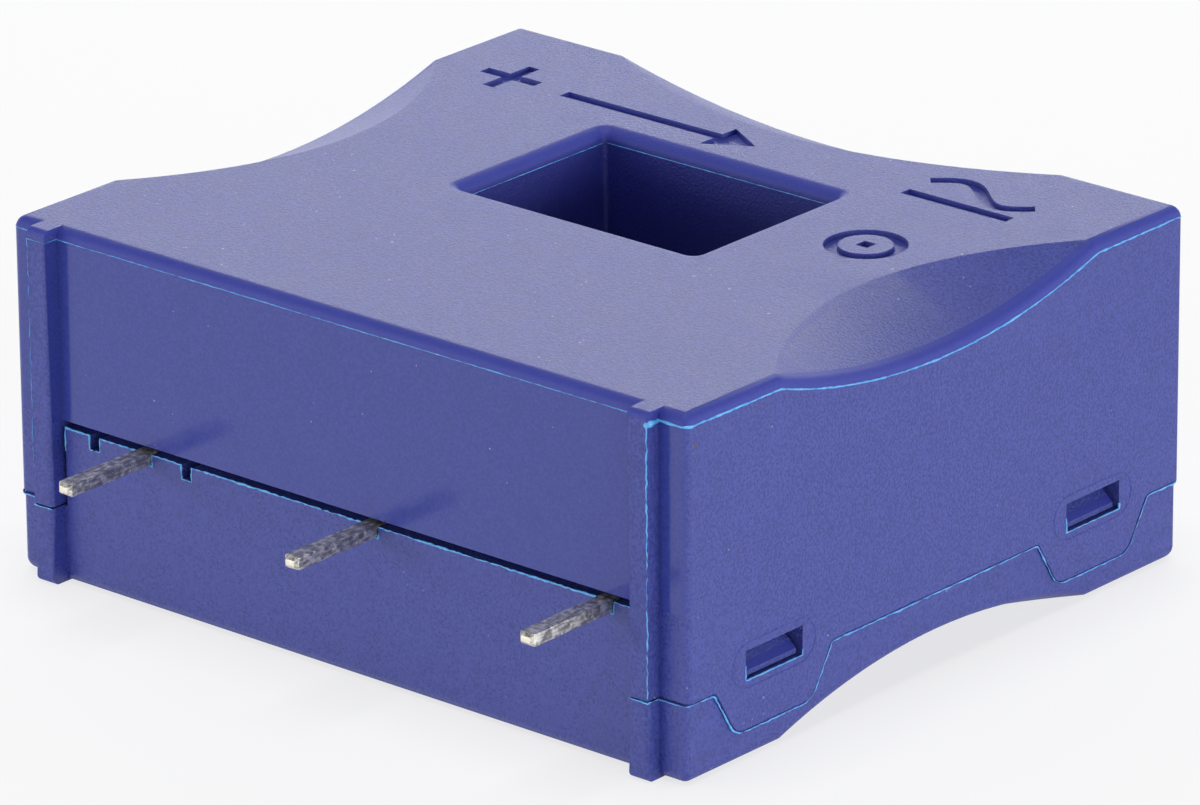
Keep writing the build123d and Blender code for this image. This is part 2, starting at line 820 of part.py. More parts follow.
# Output transistors, flat against the board, their legs bent down and back through it
for name, side in (("left", -1), ("right", 1)):
    with BuildPart() as transistor:
        with BuildSketch(upright(board_back)):
            with Locations((side * transistor_offset, transistor_foot + transistor_height / 2)):
                Rectangle(transistor_width, transistor_height)
            with Locations((side * transistor_offset, tab_hole_level)):
                Circle(tab_hole_radius, mode=Mode.SUBTRACT)
        extrude(amount=-transistor_thickness)
        chamfer(transistor.faces().sort_by(Axis.Y)[-1].outer_wire().edges(), transistor_chamfer)
    transistor.part.label = f"transistor_{name}"
    export_step(transistor.part, f"parts/transistor_{name}.step")

with BuildPart() as transistor_legs:
    leg_front = board_back + (transistor_thickness - transistor_leg_thickness) / 2
    leg_back = leg_front + transistor_leg_thickness
    for x in leg_places:
        with BuildSketch(Plane.YZ.offset(x - transistor_leg_width / 2)):
            with BuildLine():
                Polyline(
                    (leg_front, transistor_foot),
                    (leg_back, transistor_foot),
                    (leg_back, leg_level - transistor_leg_thickness / 2),
                    (solder_tip, leg_level - transistor_leg_thickness / 2),
                    (solder_tip, leg_level + transistor_leg_thickness / 2),
                    (leg_front, leg_level + transistor_leg_thickness / 2),
                    close=True,
                )
            make_face()
        extrude(amount=transistor_leg_width)

transistor_legs.part.label = "transistor_legs"
export_step(transistor_legs.part, "parts/transistor_legs.step")

# Supply capacitors: two cans that stand on the board
with BuildPart() as supply_capacitors:
    for side in (-1, 1):
        with BuildSketch(upright(board_back)):
            with Locations((side * capacitor_offset, capacitor_rise)):
                Circle(capacitor_radius)
        extrude(amount=-capacitor_height)

supply_capacitors.part.label = "supply_capacitors"
export_step(supply_capacitors.part, "parts/supply_capacitors.step")

# Supply clamp diodes: flat moulded bodies near the board's foot
with BuildPart() as clamp_diodes:
    with BuildSketch(upright(board_back)):
        with Locations((-diode_offset, diode_rise), (diode_offset, diode_rise)):
            Rectangle(diode_length, diode_width)
    extrude(amount=-diode_thickness, taper=diode_draft)

clamp_diodes.part.label = "clamp_diodes"
export_step(clamp_diodes.part, "parts/clamp_diodes.step")

# Chip resistors and ceramic capacitors
with BuildPart() as chip_resistors:
    with BuildSketch(upright(board_back)):
        with Locations((0, chip_part_rise)):
            with GridLocations(chip_part_column, chip_part_row, 2, 2):
                Rectangle(chip_part_length, chip_part_width)
    extrude(amount=-resistor_thickness)

chip_resistors.part.label = "chip_resistors"
export_step(chip_resistors.part, "parts/chip_resistors.step")

with BuildPart() as chip_capacitors:
    with BuildSketch(upright(board_back)):
        with Locations((-ceramic_offset, chip_part_rise), (ceramic_offset, chip_part_rise)):
            Rectangle(chip_part_length, chip_part_width)
    extrude(amount=-ceramic_thickness)

chip_capacitors.part.label = "chip_capacitors"
export_step(chip_capacitors.part, "parts/chip_capacitors.step")
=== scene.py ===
# %% [markdown]
# A current sensor for a circuit board, dressed for its picture
#
# The object is a blue moulded box, 50 mm wide, with a window through it for the
# conductor and three tinned pins at its front. Its solids come ready made and packed as
# a fixed frame. This lesson gives them their looks: the spark-textured plastic, the thin
# flash that the mould left along the edges, generic engraved marks, the uneven tin of
# the pins, and a finish for each piece inside. Every length here is in metres, as
# Blender has it, so the sizes are written in millimetres and multiplied by MM.

import json
import math

import bmesh
import bpy
from mathutils import Matrix, Vector, noise

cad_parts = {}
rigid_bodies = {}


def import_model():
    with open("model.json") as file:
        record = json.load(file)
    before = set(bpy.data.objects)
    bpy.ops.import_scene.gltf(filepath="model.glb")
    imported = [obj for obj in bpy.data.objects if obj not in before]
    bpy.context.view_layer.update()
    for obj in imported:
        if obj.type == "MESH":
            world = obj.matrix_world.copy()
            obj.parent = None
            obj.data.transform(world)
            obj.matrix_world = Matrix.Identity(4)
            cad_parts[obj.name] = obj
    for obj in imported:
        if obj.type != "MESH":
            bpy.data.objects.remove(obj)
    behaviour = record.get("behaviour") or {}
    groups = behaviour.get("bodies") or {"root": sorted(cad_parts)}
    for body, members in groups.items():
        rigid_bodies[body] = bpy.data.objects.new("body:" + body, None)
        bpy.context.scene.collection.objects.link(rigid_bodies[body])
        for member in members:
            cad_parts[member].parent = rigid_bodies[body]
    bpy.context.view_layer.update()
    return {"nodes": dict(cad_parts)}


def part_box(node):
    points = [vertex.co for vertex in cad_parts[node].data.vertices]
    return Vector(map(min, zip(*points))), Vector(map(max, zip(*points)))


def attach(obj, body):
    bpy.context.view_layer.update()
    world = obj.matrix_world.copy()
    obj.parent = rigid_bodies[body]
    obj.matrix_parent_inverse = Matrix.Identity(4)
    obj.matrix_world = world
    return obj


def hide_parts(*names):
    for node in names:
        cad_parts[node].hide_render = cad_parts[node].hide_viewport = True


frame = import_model()

MM = 0.001
print("pieces in the frame:", len(frame["nodes"]))


# %% [markdown]
# The places that the looks need are read from the frame, so they follow it when a size
# changes: the housing's flat sides come from the box of the case, and the parting from
# that of the lid. Only what no box can tell, such as a fillet's radius, the width of a
# stand-off rib or the place of the window, is written down again.

# %% Places on the housing
case_low, case_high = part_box("case")
lid_low, lid_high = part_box("lid")
RIM_RADIUS = 0.7 * MM
CORNER_RADIUS = 0.45 * MM
MOUTH_RADIUS = 0.85 * MM
RIB_REACH = 0.95 * MM
RIB_WIDTH = 1.35 * MM
RIB_SETBACK = 2.05 * MM
TOP = case_high.z
SIDE = case_high.x
BACK = case_high.y
FRONT = case_low.y + RIB_REACH
RIB_FRONT = FRONT - RIB_REACH
RIB_OUTER = SIDE - RIB_SETBACK
RIB_INNER = RIB_OUTER - RIB_WIDTH
WINDOW_HALF = 8.75 * MM
WINDOW_NEAR = FRONT + 19.85 * MM
WINDOW_FAR = WINDOW_NEAR + 12.7 * MM
PANEL_PARTING = 9.93 * MM
print("body: %.1f x %.1f x %.1f mm" % (2 * SIDE / MM, (BACK - FRONT) / MM, TOP / MM))

# %% [markdown]
# A camera far away with a long lens gives the nearly parallel edges of a product
# picture. Its bearing, height and roll were worked out once from the corners of the
# body as they lie in the photograph. The camera's own axes are built from its line of
# sight, and the small roll is turned about that line.

# %% Camera
CAMERA_BEARING = math.radians(40.89)
CAMERA_RISE = math.radians(20.98)
CAMERA_ROLL = math.radians(-0.442)
CAMERA_DISTANCE = 0.535
CAMERA_LENS = 282.74
CAMERA_AIM = Vector((1.632, 1.434, 10.75)) * MM

towards_camera = Vector(
    (
        math.sin(CAMERA_BEARING) * math.cos(CAMERA_RISE),
        -math.cos(CAMERA_BEARING) * math.cos(CAMERA_RISE),
        math.sin(CAMERA_RISE),
    )
)
camera_data = bpy.data.cameras.new("camera")
camera_data.lens = CAMERA_LENS
camera_data.sensor_width = 36.0
camera_data.clip_end = 10.0
camera = bpy.data.objects.new("camera", camera_data)
bpy.context.scene.collection.objects.link(camera)
camera.matrix_world = (
    Matrix.Translation(CAMERA_AIM + towards_camera * CAMERA_DISTANCE)
    @ towards_camera.to_track_quat("Z", "Y").to_matrix().to_4x4()
    @ Matrix.Rotation(CAMERA_ROLL, 4, "Z")
)
bpy.context.scene.camera = camera
print("camera at", [round(value, 4) for value in camera.matrix_world.translation])

# %% [markdown]
# Shader maths reads best as Python expressions. The class below wraps one output of a
# material's node, and the usual operators add a Math node each, so that 1 - mask works
# as it is written. Every other node comes from one method, which takes the node's type,
# its settings and what goes into its sockets. Noise seldom leaves the middle of its
# range from 0 to 1, so the two spreads that are stretched most often have names.

# %% Shader maths
MIDDLE_SPREAD = (0.35, 0.65)
WIDE_SPREAD = (0.3, 0.7)


class Wire:
    """One output of a node. Python's operators on it add Math nodes."""

    def __init__(self, finish, socket):
        self.finish = finish
        self.socket = socket

    def __add__(self, other):
        return self.finish.maths("ADD", self, other)

    def __sub__(self, other):
        return self.finish.maths("SUBTRACT", self, other)

    def __rsub__(self, other):
        return self.finish.maths("SUBTRACT", other, self)

    def __mul__(self, other):
        return self.finish.maths("MULTIPLY", self, other)

    def __gt__(self, other):
        return self.finish.maths("GREATER_THAN", self, other)

    def __lt__(self, other):
        return self.finish.maths("LESS_THAN", self, other)

    __radd__ = __add__
    __rmul__ = __mul__


# %% A finish that is built from nodes
class Finish:
    """A material that is built up from nodes, with its main shader at hand."""

    def __init__(self, name, **fixed):
        self.material = bpy.data.materials.new(name)
        self.material.use_nodes = True
        self.tree = self.material.node_tree
        self.shader = self.tree.nodes["Principled BSDF"]
        for socket, value in fixed.items():
            self.shader.inputs[socket.replace("_", " ")].default_value = value

    def node(self, kind, settings=None, sockets=None, output=0):
        node = self.tree.nodes.new(kind)
        for name, value in (settings or {}).items():
            setattr(node, name, value)
        for name, value in (sockets or {}).items():
            if isinstance(value, Wire):
                self.tree.links.new(value.socket, node.inputs[name])
            else:
                node.inputs[name].default_value = value
        return Wire(self, node.outputs[output])

    def apart(self, vector):
        """A vector's x, y and z, each as a number."""
        parts = self.node("ShaderNodeSeparateXYZ", sockets={0: vector})
        return [Wire(self, output) for output in parts.socket.node.outputs]

    def place(self):
        """The point on the object, which stays with the piece from any side."""
        return self.node("ShaderNodeTexCoord", output=3)

    def axes(self):
        """The point's own x, y and z."""
        return self.apart(self.place())

    def facing(self):
        """The surface's own direction, as x, y and z."""
        return self.apart(self.node("ShaderNodeNewGeometry", output=1))

    def maths(self, operation, *values):
        return self.node("ShaderNodeMath", {"operation": operation}, dict(enumerate(values)))

    def stretched(self, factors):
        """The point on the object with each axis scaled, for grain that runs one way."""
        sockets = {0: self.place(), 1: factors}
        return self.node("ShaderNodeVectorMath", {"operation": "MULTIPLY"}, sockets)

    def noise(self, size, detail=2.0, roughness=0.5, vector=None):
        """Noise whose patches are about size across, from 0 to 1."""
        sockets = {
            "Vector": vector or self.place(),
            "Scale": 1 / size,
            "Detail": detail,
            "Roughness": roughness,
        }
        return self.node("ShaderNodeTexNoise", sockets=sockets)

    def remap(self, value, low, high, new_low=0.0, new_high=1.0):
        """value's range from low to high, spread evenly and held at the new range."""
        sockets = dict(enumerate((value, low, high, new_low, new_high)))
        return self.node("ShaderNodeMapRange", sockets=sockets)

    def mix(self, factor, first, second):
        """A colour between first and second."""
        sockets = {0: factor, 6: first, 7: second}
        return self.node("ShaderNodeMix", {"data_type": "RGBA"}, sockets, output=2)

    def bump(self, height, distance, strength):
        sockets = {"Height": height, "Distance": distance, "Strength": strength}
        return self.node("ShaderNodeBump", sockets=sockets)

    def feed(self, socket, value):
        self.tree.links.new(value.socket, self.shader.inputs[socket])


# %% [markdown]
# The stage is a white sheet that the box lies on. A real sheet under studio light is
# white to the camera because it is exposed so. Here the sheet keeps a plain pale colour
# for the light that falls on the box, and shows itself nearly white to the camera,
# to reflections and to what is seen through, while a share of it stays matt paper that
# takes the box's soft shadow.

# %% Stage
SHEET_SIZE = 4.0
SHEET_DROP = 0.02 * MM
SHEET_GLOW_SHARE = 0.72
SHEET_COLOUR = (0.92, 0.92, 0.93, 1.0)

sheet_shape = bmesh.new()
bmesh.ops.create_grid(sheet_shape, x_segments=1, y_segments=1, size=SHEET_SIZE / 2)
sheet_mesh = bpy.data.meshes.new("sheet")
sheet_shape.to_mesh(sheet_mesh)
sheet_shape.free()
sheet = bpy.data.objects.new("sheet", sheet_mesh)
bpy.context.scene.collection.objects.link(sheet)
sheet.location.z = -SHEET_DROP


def show_white(finish, share):
    """Mixes plain white into a finish for rays that look at it, and none for its light."""
    rays = finish.node("ShaderNodeLightPath")
    sight, glossy, seen_through = (
        Wire(finish, rays.socket.node.outputs[name])
        for name in ("Is Camera Ray", "Is Glossy Ray", "Is Transmission Ray")
    )
    glow = finish.node("ShaderNodeEmission", sockets={"Strength": 1.0})
    surface = Wire(finish, finish.shader.outputs[0])
    clamped_sum = {"operation": "ADD", "use_clamp": True}
    looked_at = finish.node("ShaderNodeMath", clamped_sum, {0: sight, 1: glossy + seen_through})
    shares = {0: looked_at * share, 1: surface, 2: glow}
    mixed = finish.node("ShaderNodeMixShader", sockets=shares)
    ending = finish.tree.nodes["Material Output"]
    finish.tree.links.new(mixed.socket, ending.inputs["Surface"])


paper = Finish("paper", Base_Color=SHEET_COLOUR, Roughness=1.0, Specular_IOR_Level=0.0)
show_white(paper, SHEET_GLOW_SHARE)
sheet_mesh.materials.append(paper.material)
bpy.context.scene.view_settings.view_transform = "Standard"
print("sheet:", SHEET_SIZE, "m square")

# %% [markdown]
# Products like this are often shot in a white tent: the light comes from a bright band
# all round, low over the table, and little comes from straight above. That is why the
# window is dark inside, why the rim's fillet is a deep blue, and why the flat top, seen
# at a low angle, mirrors the bright band behind it and looks lavender. The plastic's
# finish below adds painted shade to the window's walls and to the fillets as well. The
# world makes the band, brighter near the horizon. Three long low lamps add to it at the
# back, the front left and the right, and a square one straight above lifts the top a
# little.

# %% Lights
BAND_LEVEL = 1.2
ZENITH_LEVEL = 0.06
BAND_TOP = math.sin(math.radians(14))
BAND_END = math.sin(math.radians(34))
LAMP_DISTANCE = 1.0


def area_lamp(name, bearing, rise, width, height, power):
    """An area lamp that faces the box from a bearing and a rise in degrees."""
    lamp = bpy.data.lights.new(name, "AREA")
    lamp.shape = "RECTANGLE"
    lamp.size = width
    lamp.size_y = height
    lamp.energy = power
    panel = bpy.data.objects.new(name, lamp)
    bpy.context.scene.collection.objects.link(panel)
    turn, lift = math.radians(bearing), math.radians(rise)
    place = Vector(
        (math.sin(turn) * math.cos(lift), -math.cos(turn) * math.cos(lift), math.sin(lift))
    )
    panel.location = place * LAMP_DISTANCE
    panel.rotation_euler = place.to_track_quat("Z", "Y").to_euler()


area_lamp("back_lamp", 221, 17, 1.20, 0.30, 5.8)
area_lamp("front_lamp", -30, 8, 0.90, 0.20, 2.4)
area_lamp("side_lamp", 96, 8, 0.90, 0.20, 4.6)
area_lamp("top_lamp", 0, 90, 0.50, 0.50, 5.2)


# %% The white tent as the world
def tent_world():
    """A world that is bright near the horizon and dim above, and white to the camera."""
    world = bpy.data.worlds.new("white_tent")
    world.use_nodes = True
    tree = world.node_tree
    sky = tree.nodes["Background"]
    direction = tree.nodes.new("ShaderNodeTexCoord")
    axes = tree.nodes.new("ShaderNodeSeparateXYZ")
    band = tree.nodes.new("ShaderNodeMapRange")
    rays = tree.nodes.new("ShaderNodeLightPath")
    level = tree.nodes.new("ShaderNodeMix")
    band.interpolation_type = "SMOOTHSTEP"
    for socket, value in zip(band.inputs[1:5], (BAND_TOP, BAND_END, BAND_LEVEL, ZENITH_LEVEL)):
        socket.default_value = value
    level.inputs[3].default_value = 1.0
    tree.links.new(direction.outputs["Generated"], axes.inputs[0])
    tree.links.new(axes.outputs["Z"], band.inputs[0])
    tree.links.new(rays.outputs["Is Camera Ray"], level.inputs[0])
    tree.links.new(band.outputs[0], level.inputs[2])
    tree.links.new(level.outputs[0], sky.inputs["Strength"])
    sky.inputs["Color"].default_value = (1.0, 1.0, 1.0, 1.0)
    return world


bpy.context.scene.world = tent_world()

# %% [markdown]
# The housing's finish changes from zone to zone, although each moulding is one piece of
# one plastic. Each helper below makes the mask of a zone, which is 1 inside it and 0
# outside. A mask compares the point's own place with the sizes of the body, and where a
# place alone can't tell, also the way that the surface faces: a fillet leans, while the
# flat top looks straight up and a wall to the side.

# %% Zones of the housing
PANEL_SKIN = 0.06 * MM
LID_POLISH = 0.60
MOUTH_MIDDLE = (WINDOW_NEAR + WINDOW_FAR) / 2
MOUTH_REACH = (WINDOW_FAR - WINDOW_NEAR) / 2 + MOUTH_RADIUS
FLAT_TO_LEANING = (0.998, 0.98)
UPRIGHT_TO_LEANING = (0.02, 0.2)
GROOVE_DEPTH = 0.32 * MM
GROOVE_ZONE = 1.25 * GROOVE_DEPTH
SLOPE_STEEPEST = 0.5
SLOPE_FLATTEST = 0.999


def window_shade_zone(finish, across, y, z):
    """Where the window's walls get painted shade: 1 on them, and 0 from the foot of the mouth's
    fillet upwards.
    """
    beside = across < WINDOW_HALF + PANEL_SKIN
    along = (y > WINDOW_NEAR - PANEL_SKIN) * (y < WINDOW_FAR + PANEL_SKIN)
    below = finish.remap(z, TOP - MOUTH_RADIUS, TOP - MOUTH_RADIUS / 2, 1.0, 0.0)
    return beside * along * below


def on_fillet(finish, across, y, facing_up):
    """1 where the surface leans near the rim or round the mouth of the window."""
    on_rim = 1 - (across < SIDE - RIM_RADIUS) * (y > FRONT + RIM_RADIUS)
    from_middle = finish.maths("ABSOLUTE", y - MOUTH_MIDDLE)
    at_mouth = (across < WINDOW_HALF + MOUTH_RADIUS) * (from_middle < MOUTH_REACH)
    off_flat = finish.remap(facing_up, *FLAT_TO_LEANING)
    off_upright = finish.remap(facing_up, *UPRIGHT_TO_LEANING)
    return off_flat * off_upright * finish.maths("MAXIMUM", on_rim, at_mouth)


def on_panel(finish, across, y, z):
    """1 on the case's polished front panel, a share on the lid's, and 0 on the ribs."""
    before_panel = finish.remap(y, FRONT + PANEL_SKIN, FRONT + 2 * PANEL_SKIN, 1.0, 0.0)
    under_rim = finish.remap(z, TOP - RIM_RADIUS - PANEL_SKIN, TOP - RIM_RADIUS, 1.0, 0.0)
    on_case = finish.remap(z, PANEL_PARTING - PANEL_SKIN, PANEL_PARTING, LID_POLISH, 1.0)
    on_rib = (across > RIB_INNER) * (across < RIB_OUTER + PANEL_SKIN)
    return before_panel * under_rim * on_case * (1 - on_rib)


def in_groove(z, facing_up):
    """1 on the floors and walls of the engraved signs, and 0 on the scoops' slopes."""
    in_skin = (z > TOP - GROOVE_ZONE) * (z < TOP - PANEL_SKIN / 2)
    return in_skin * (1 - (facing_up > SLOPE_STEEPEST) * (facing_up < SLOPE_FLATTEST))


print("polished panel: x up to %.2f mm" % (RIB_INNER / MM))

# %% [markdown]
# The housing is a filled blue plastic. Its mould was spark-eroded, which leaves a fine
# grain on the top, the sides, the back and the ribs, while the two panels at the pins
# were polished smoother and mirror the pins faintly. Fine noise gives the grain its two
# shades and its bump, and two coarser ones let both drift. The walls of the window are
# painted a darker blue, as painted shade. The fillets are a little rougher, and they and
# the grooves are painted a deeper, darker blue, as painted shade. A little pale dust and
# one brown speck are laid over the plastic last.

# %% Moulded blue plastic
GRAIN_SIZE = 0.16 * MM
DRIFT_SIZE = 1.6 * MM
CLOUD_SIZE = 9 * MM
DUST_SIZE = 0.24 * MM
GRAIN_SHARE, CLOUD_SHARE, DRIFT_SHARE = 0.88, 0.03, 0.09
TEXTURE_SPREAD = (0.42, 0.58)
PLASTIC_BLUE = (0.021, 0.033, 0.230, 1.0)
PLASTIC_PALE = (0.052, 0.071, 0.355, 1.0)
# The window's walls are painted this darker blue: painted shade inside the hole.
WINDOW_SHADE_BLUE = (0.012, 0.019, 0.235, 1.0)
# The fillets and the grooves are painted this darker, deeper blue: painted shade.
FILLET_SHADE_BLUE = (0.018, 0.030, 0.300, 1.0)
SHADE_SHARE = 0.8
POLISH_CALM = 0.65
DUST_COLOUR = (0.270, 0.300, 0.480, 1.0)
DUST_LEVEL = 0.86
DUST_PATCHES = 0.52
SPECK_COLOUR = (0.075, 0.050, 0.060, 1.0)
SPECK_PLACE = (SIDE, FRONT + 0.72 * MM, TOP - 1.85 * MM)
SPECK_RADII = (0.08 * MM, 0.16 * MM)
SPECK_RAGGED = 0.2 * MM
SPECK_SHARE = 0.8
GRAIN_ROUGHNESS = (0.48, 0.58)
POLISH_SMOOTHER, FILLET_ROUGHER = 0.39, 0.08
GRAIN_HEIGHT = 0.10 * MM
GRAIN_BUMP, POLISH_FLATTER, FILLET_FLATTER = 0.85, 0.82, 0.55


def brown_speck(finish, drift):
    """A mask round one place on the right side, with a slightly ragged edge."""
    ends = {0: finish.place(), 1: SPECK_PLACE}
    away = finish.node("ShaderNodeVectorMath", {"operation": "DISTANCE"}, ends, output=1)
    return finish.remap(away + (drift - 0.5) * SPECK_RAGGED, *SPECK_RADII, SPECK_SHARE, 0.0)


def moulded_plastic(name):
    finish = Finish(name, IOR=1.55)
    x, y, z = finish.axes()
    facing_up = finish.facing()[2]
    across = finish.maths("ABSOLUTE", x)
    fillet = on_fillet(finish, across, y, facing_up)
    polished = on_panel(finish, across, y, z)
    grain = finish.noise(GRAIN_SIZE, detail=3.0, roughness=0.65)
    cloud = finish.noise(CLOUD_SIZE, detail=2.0)
    drift = finish.noise(DRIFT_SIZE, detail=3.0)
    texture = grain * GRAIN_SHARE + cloud * CLOUD_SHARE + drift * DRIFT_SHARE
    contrast = finish.remap(texture, *TEXTURE_SPREAD) - 0.5
    shade = contrast * (1 - polished * POLISH_CALM) + 0.5
    # Painted shade: the fillets and the grooves are mixed towards a darker, deeper blue.
    painted_shade_zone = finish.maths("MAXIMUM", fillet, in_groove(z, facing_up))
    blue = finish.mix(shade, PLASTIC_BLUE, PLASTIC_PALE)
    blue = finish.mix(painted_shade_zone * SHADE_SHARE, blue, FILLET_SHADE_BLUE)
    dust = (finish.noise(DUST_SIZE, detail=0.0) > DUST_LEVEL) * (cloud > DUST_PATCHES)
    blue = finish.mix(dust, blue, DUST_COLOUR)
    blue = finish.mix(brown_speck(finish, drift), blue, SPECK_COLOUR)
    # Painted shade: the walls of the window take a darker blue.
    finish.feed("Base Color", finish.mix(window_shade_zone(finish, across, y, z), blue, WINDOW_SHADE_BLUE))
    rough = finish.remap(grain * 0.7 + drift * 0.3, *WIDE_SPREAD, *GRAIN_ROUGHNESS)
    finish.feed("Roughness", rough - polished * POLISH_SMOOTHER + fillet * FILLET_ROUGHER)
    strength = GRAIN_BUMP - polished * POLISH_FLATTER - fillet * FILLET_FLATTER
    finish.feed("Normal", finish.bump(grain, GRAIN_HEIGHT, strength))
    print(name, len(finish.tree.nodes), "nodes")
    return finish


housing_blue = moulded_plastic("housing_blue")

# %% [markdown]
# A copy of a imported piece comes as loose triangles. They are merged first, and then the
# triangles of each flat face are dissolved into one face, so that a bevel or a cut
# meets clean edges. The upright edges of the stand-off ribs are rounder than the others,
# so they get a bevel of their own here. The case's outer ones stay crisp, because a lip
# of flash runs along them.

# %% Merged copies of the mouldings
NEAR = 0.01 * MM
MERGE_DISTANCE = 0.0005 * MM
FLAT_ANGLE = math.radians(0.05)
RIB_ROUNDING = 0.28 * MM
RIB_EDGE_LENGTH = 2 * MM


def merged_shape(node):
    """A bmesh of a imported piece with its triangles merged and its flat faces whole."""
    shape = bmesh.new()
    shape.from_mesh(frame["nodes"][node].data)
    bmesh.ops.remove_doubles(shape, verts=shape.verts, dist=MERGE_DISTANCE)
    bmesh.ops.dissolve_limit(
        shape, angle_limit=FLAT_ANGLE, verts=shape.verts, edges=shape.edges
    )
    return shape


def new_piece(name, shape, finish, slot, *nodes):
    """A piece of the object from a bmesh, with its finish and what it stands for; the slot is
    not used.
    """
    mesh = bpy.data.meshes.new(name)
    shape.to_mesh(mesh)
    shape.free()
    piece = bpy.data.objects.new(name, mesh)
    bpy.context.scene.collection.objects.link(piece)
    mesh.materials.append(finish.material)
    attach(piece, "root")
    if nodes:
        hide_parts(*nodes)
    return piece


# %% The two mouldings with round rib edges
def rounded_uprights(node, *places):
    """A merged piece whose ribs have round upright edges at some distances from the middle."""
    shape = merged_shape(node)

    def is_upright(edge, place):
        return edge.calc_length() > RIB_EDGE_LENGTH and all(
            abs(vert.co.y - RIB_FRONT) < NEAR and abs(abs(vert.co.x) - place) < NEAR
            for vert in edge.verts
        )

    chosen = [edge for edge in shape.edges if any(is_upright(edge, place) for place in places)]
    bmesh.ops.bevel(
        shape,
        geom=chosen,
        offset=RIB_ROUNDING,
        segments=4,
        profile=0.5,
        affect="EDGES",
        material=-1,
    )
    print(node, len(chosen), "rib edges rounded")
    return shape


case_shape = rounded_uprights("case", RIB_INNER)
lid_shape = rounded_uprights("lid", RIB_INNER, RIB_OUTER)
case_skin = new_piece("case_skin", case_shape, housing_blue, "housing", "case")
lid_skin = new_piece("lid_skin", lid_shape, housing_blue, "housing", "lid")
for skin in (case_skin, lid_skin):
    print(skin.name, len(skin.data.polygons), "faces")

# %% [markdown]
# The top carries plain engraved signs: a plus, a long arrow, a wave over a bar, and a
# ring with a dot, the sign for a current that comes towards the reader. On the mould
# they are raised, so the moulding has them as shallow grooves. Each stroke is drawn as a
# line on the top plane and given a flat-bottomed section as a curve's bevel, the arrow's
# head is a three-sided prism, and one Boolean takes them all out of the case. The signs'
# places and sizes are in millimetres, from the middle and from the front.

# %% Meshes of curves and of modified pieces
def shown_mesh(thing):
    """A new mesh of an object as it shows, with its modifiers or its curve's section."""
    bpy.context.view_layer.update()
    shown = thing.evaluated_get(bpy.context.evaluated_depsgraph_get())
    return bpy.data.meshes.new_from_object(shown)


def mesh_of_curve(curve):
    """The mesh that a curve's data makes, by way of an object that is then removed."""
    drawn = bpy.data.objects.new("drawn_line", curve)
    bpy.context.scene.collection.objects.link(drawn)
    mesh = shown_mesh(drawn)
    bpy.data.objects.remove(drawn)
    return mesh


# %% The cutter of the grooves
GROOVE_WIDTH = 0.85 * MM
GROOVE_TAPER = 0.06 * MM


def groove_section():
    """The section of a groove, wider at its mouth, as a closed flat curve."""
    half = GROOVE_WIDTH / 2
    corners = (
        (-half - GROOVE_TAPER, GROOVE_DEPTH),
        (half + GROOVE_TAPER, GROOVE_DEPTH),
        (half - GROOVE_TAPER, -GROOVE_DEPTH),
        (-half + GROOVE_TAPER, -GROOVE_DEPTH),
    )
    curve = bpy.data.curves.new("groove_section", "CURVE")
    spline = curve.splines.new("POLY")
    spline.points.add(len(corners) - 1)
    for point, (across, up) in zip(spline.points, corners):
        point.co = (across, up, 0, 1)
    spline.use_cyclic_u = True
    return bpy.data.objects.new("groove_section", curve)


def groove_cutter(strokes):
    """One mesh whose swept strokes lie half in and half over the top plane."""
    curve = bpy.data.curves.new("groove_cutter", "CURVE")
    curve.dimensions = "3D"
    curve.twist_mode = "Z_UP"
    curve.bevel_mode = "OBJECT"
    curve.bevel_object = groove_section()
    curve.use_fill_caps = True
    for points, closed in strokes:
        spline = curve.splines.new("POLY")
        spline.points.add(len(points) - 1)
        for point, (x, y) in zip(spline.points, points):
            point.co = (x * MM, FRONT + y * MM, TOP, 1)
        spline.use_cyclic_u = closed
    return mesh_of_curve(curve)


# %% The strokes of the signs
WAVE_STEPS = 16
RING_STEPS = 28
DOT_HALF = 0.42
BAR_DROP = 2.1
ARROW_Y = 35.7
ARROW_TAIL, ARROW_NECK, ARROW_HEAD = -14.6, -2.6, -1.9
ARROW_REACH = 1.9


def line(*points):
    return points, False


def plus_sign(x, y, size):
    return [line((x - size, y), (x + size, y)), line((x, y - size), (x, y + size))]


def ring_and_dot(x, y, radius):
    turns = [2 * math.pi * step / RING_STEPS for step in range(RING_STEPS)]
    ring = [(x + radius * math.cos(turn), y + radius * math.sin(turn)) for turn in turns]
    return [(ring, True), line((x - DOT_HALF, y), (x + DOT_HALF, y))]


def wave_over_bar(x, y, width, height):
    shares = [step / WAVE_STEPS for step in range(WAVE_STEPS + 1)]
    wave = [
        (x + width * (share - 0.5), y + height * math.sin(2 * math.pi * share))
        for share in shares
    ]
    bar_y = y - BAR_DROP * height
    return [(wave, False), line((x - width / 2, bar_y), (x + width / 2, bar_y))]


def arrow_head(shape, x, y, reach):
    """Adds a three-sided prism that points along X to the cutter's bmesh."""
    place = Matrix.Translation(Vector((x * MM, FRONT + y * MM, TOP)))
    bmesh.ops.create_cone(
        shape,
        cap_ends=True,
        segments=3,
        radius1=reach * MM,
        radius2=reach * MM,
        depth=2 * GROOVE_DEPTH,
        matrix=place @ Matrix.Rotation(-math.pi / 2, 4, "Z"),
    )


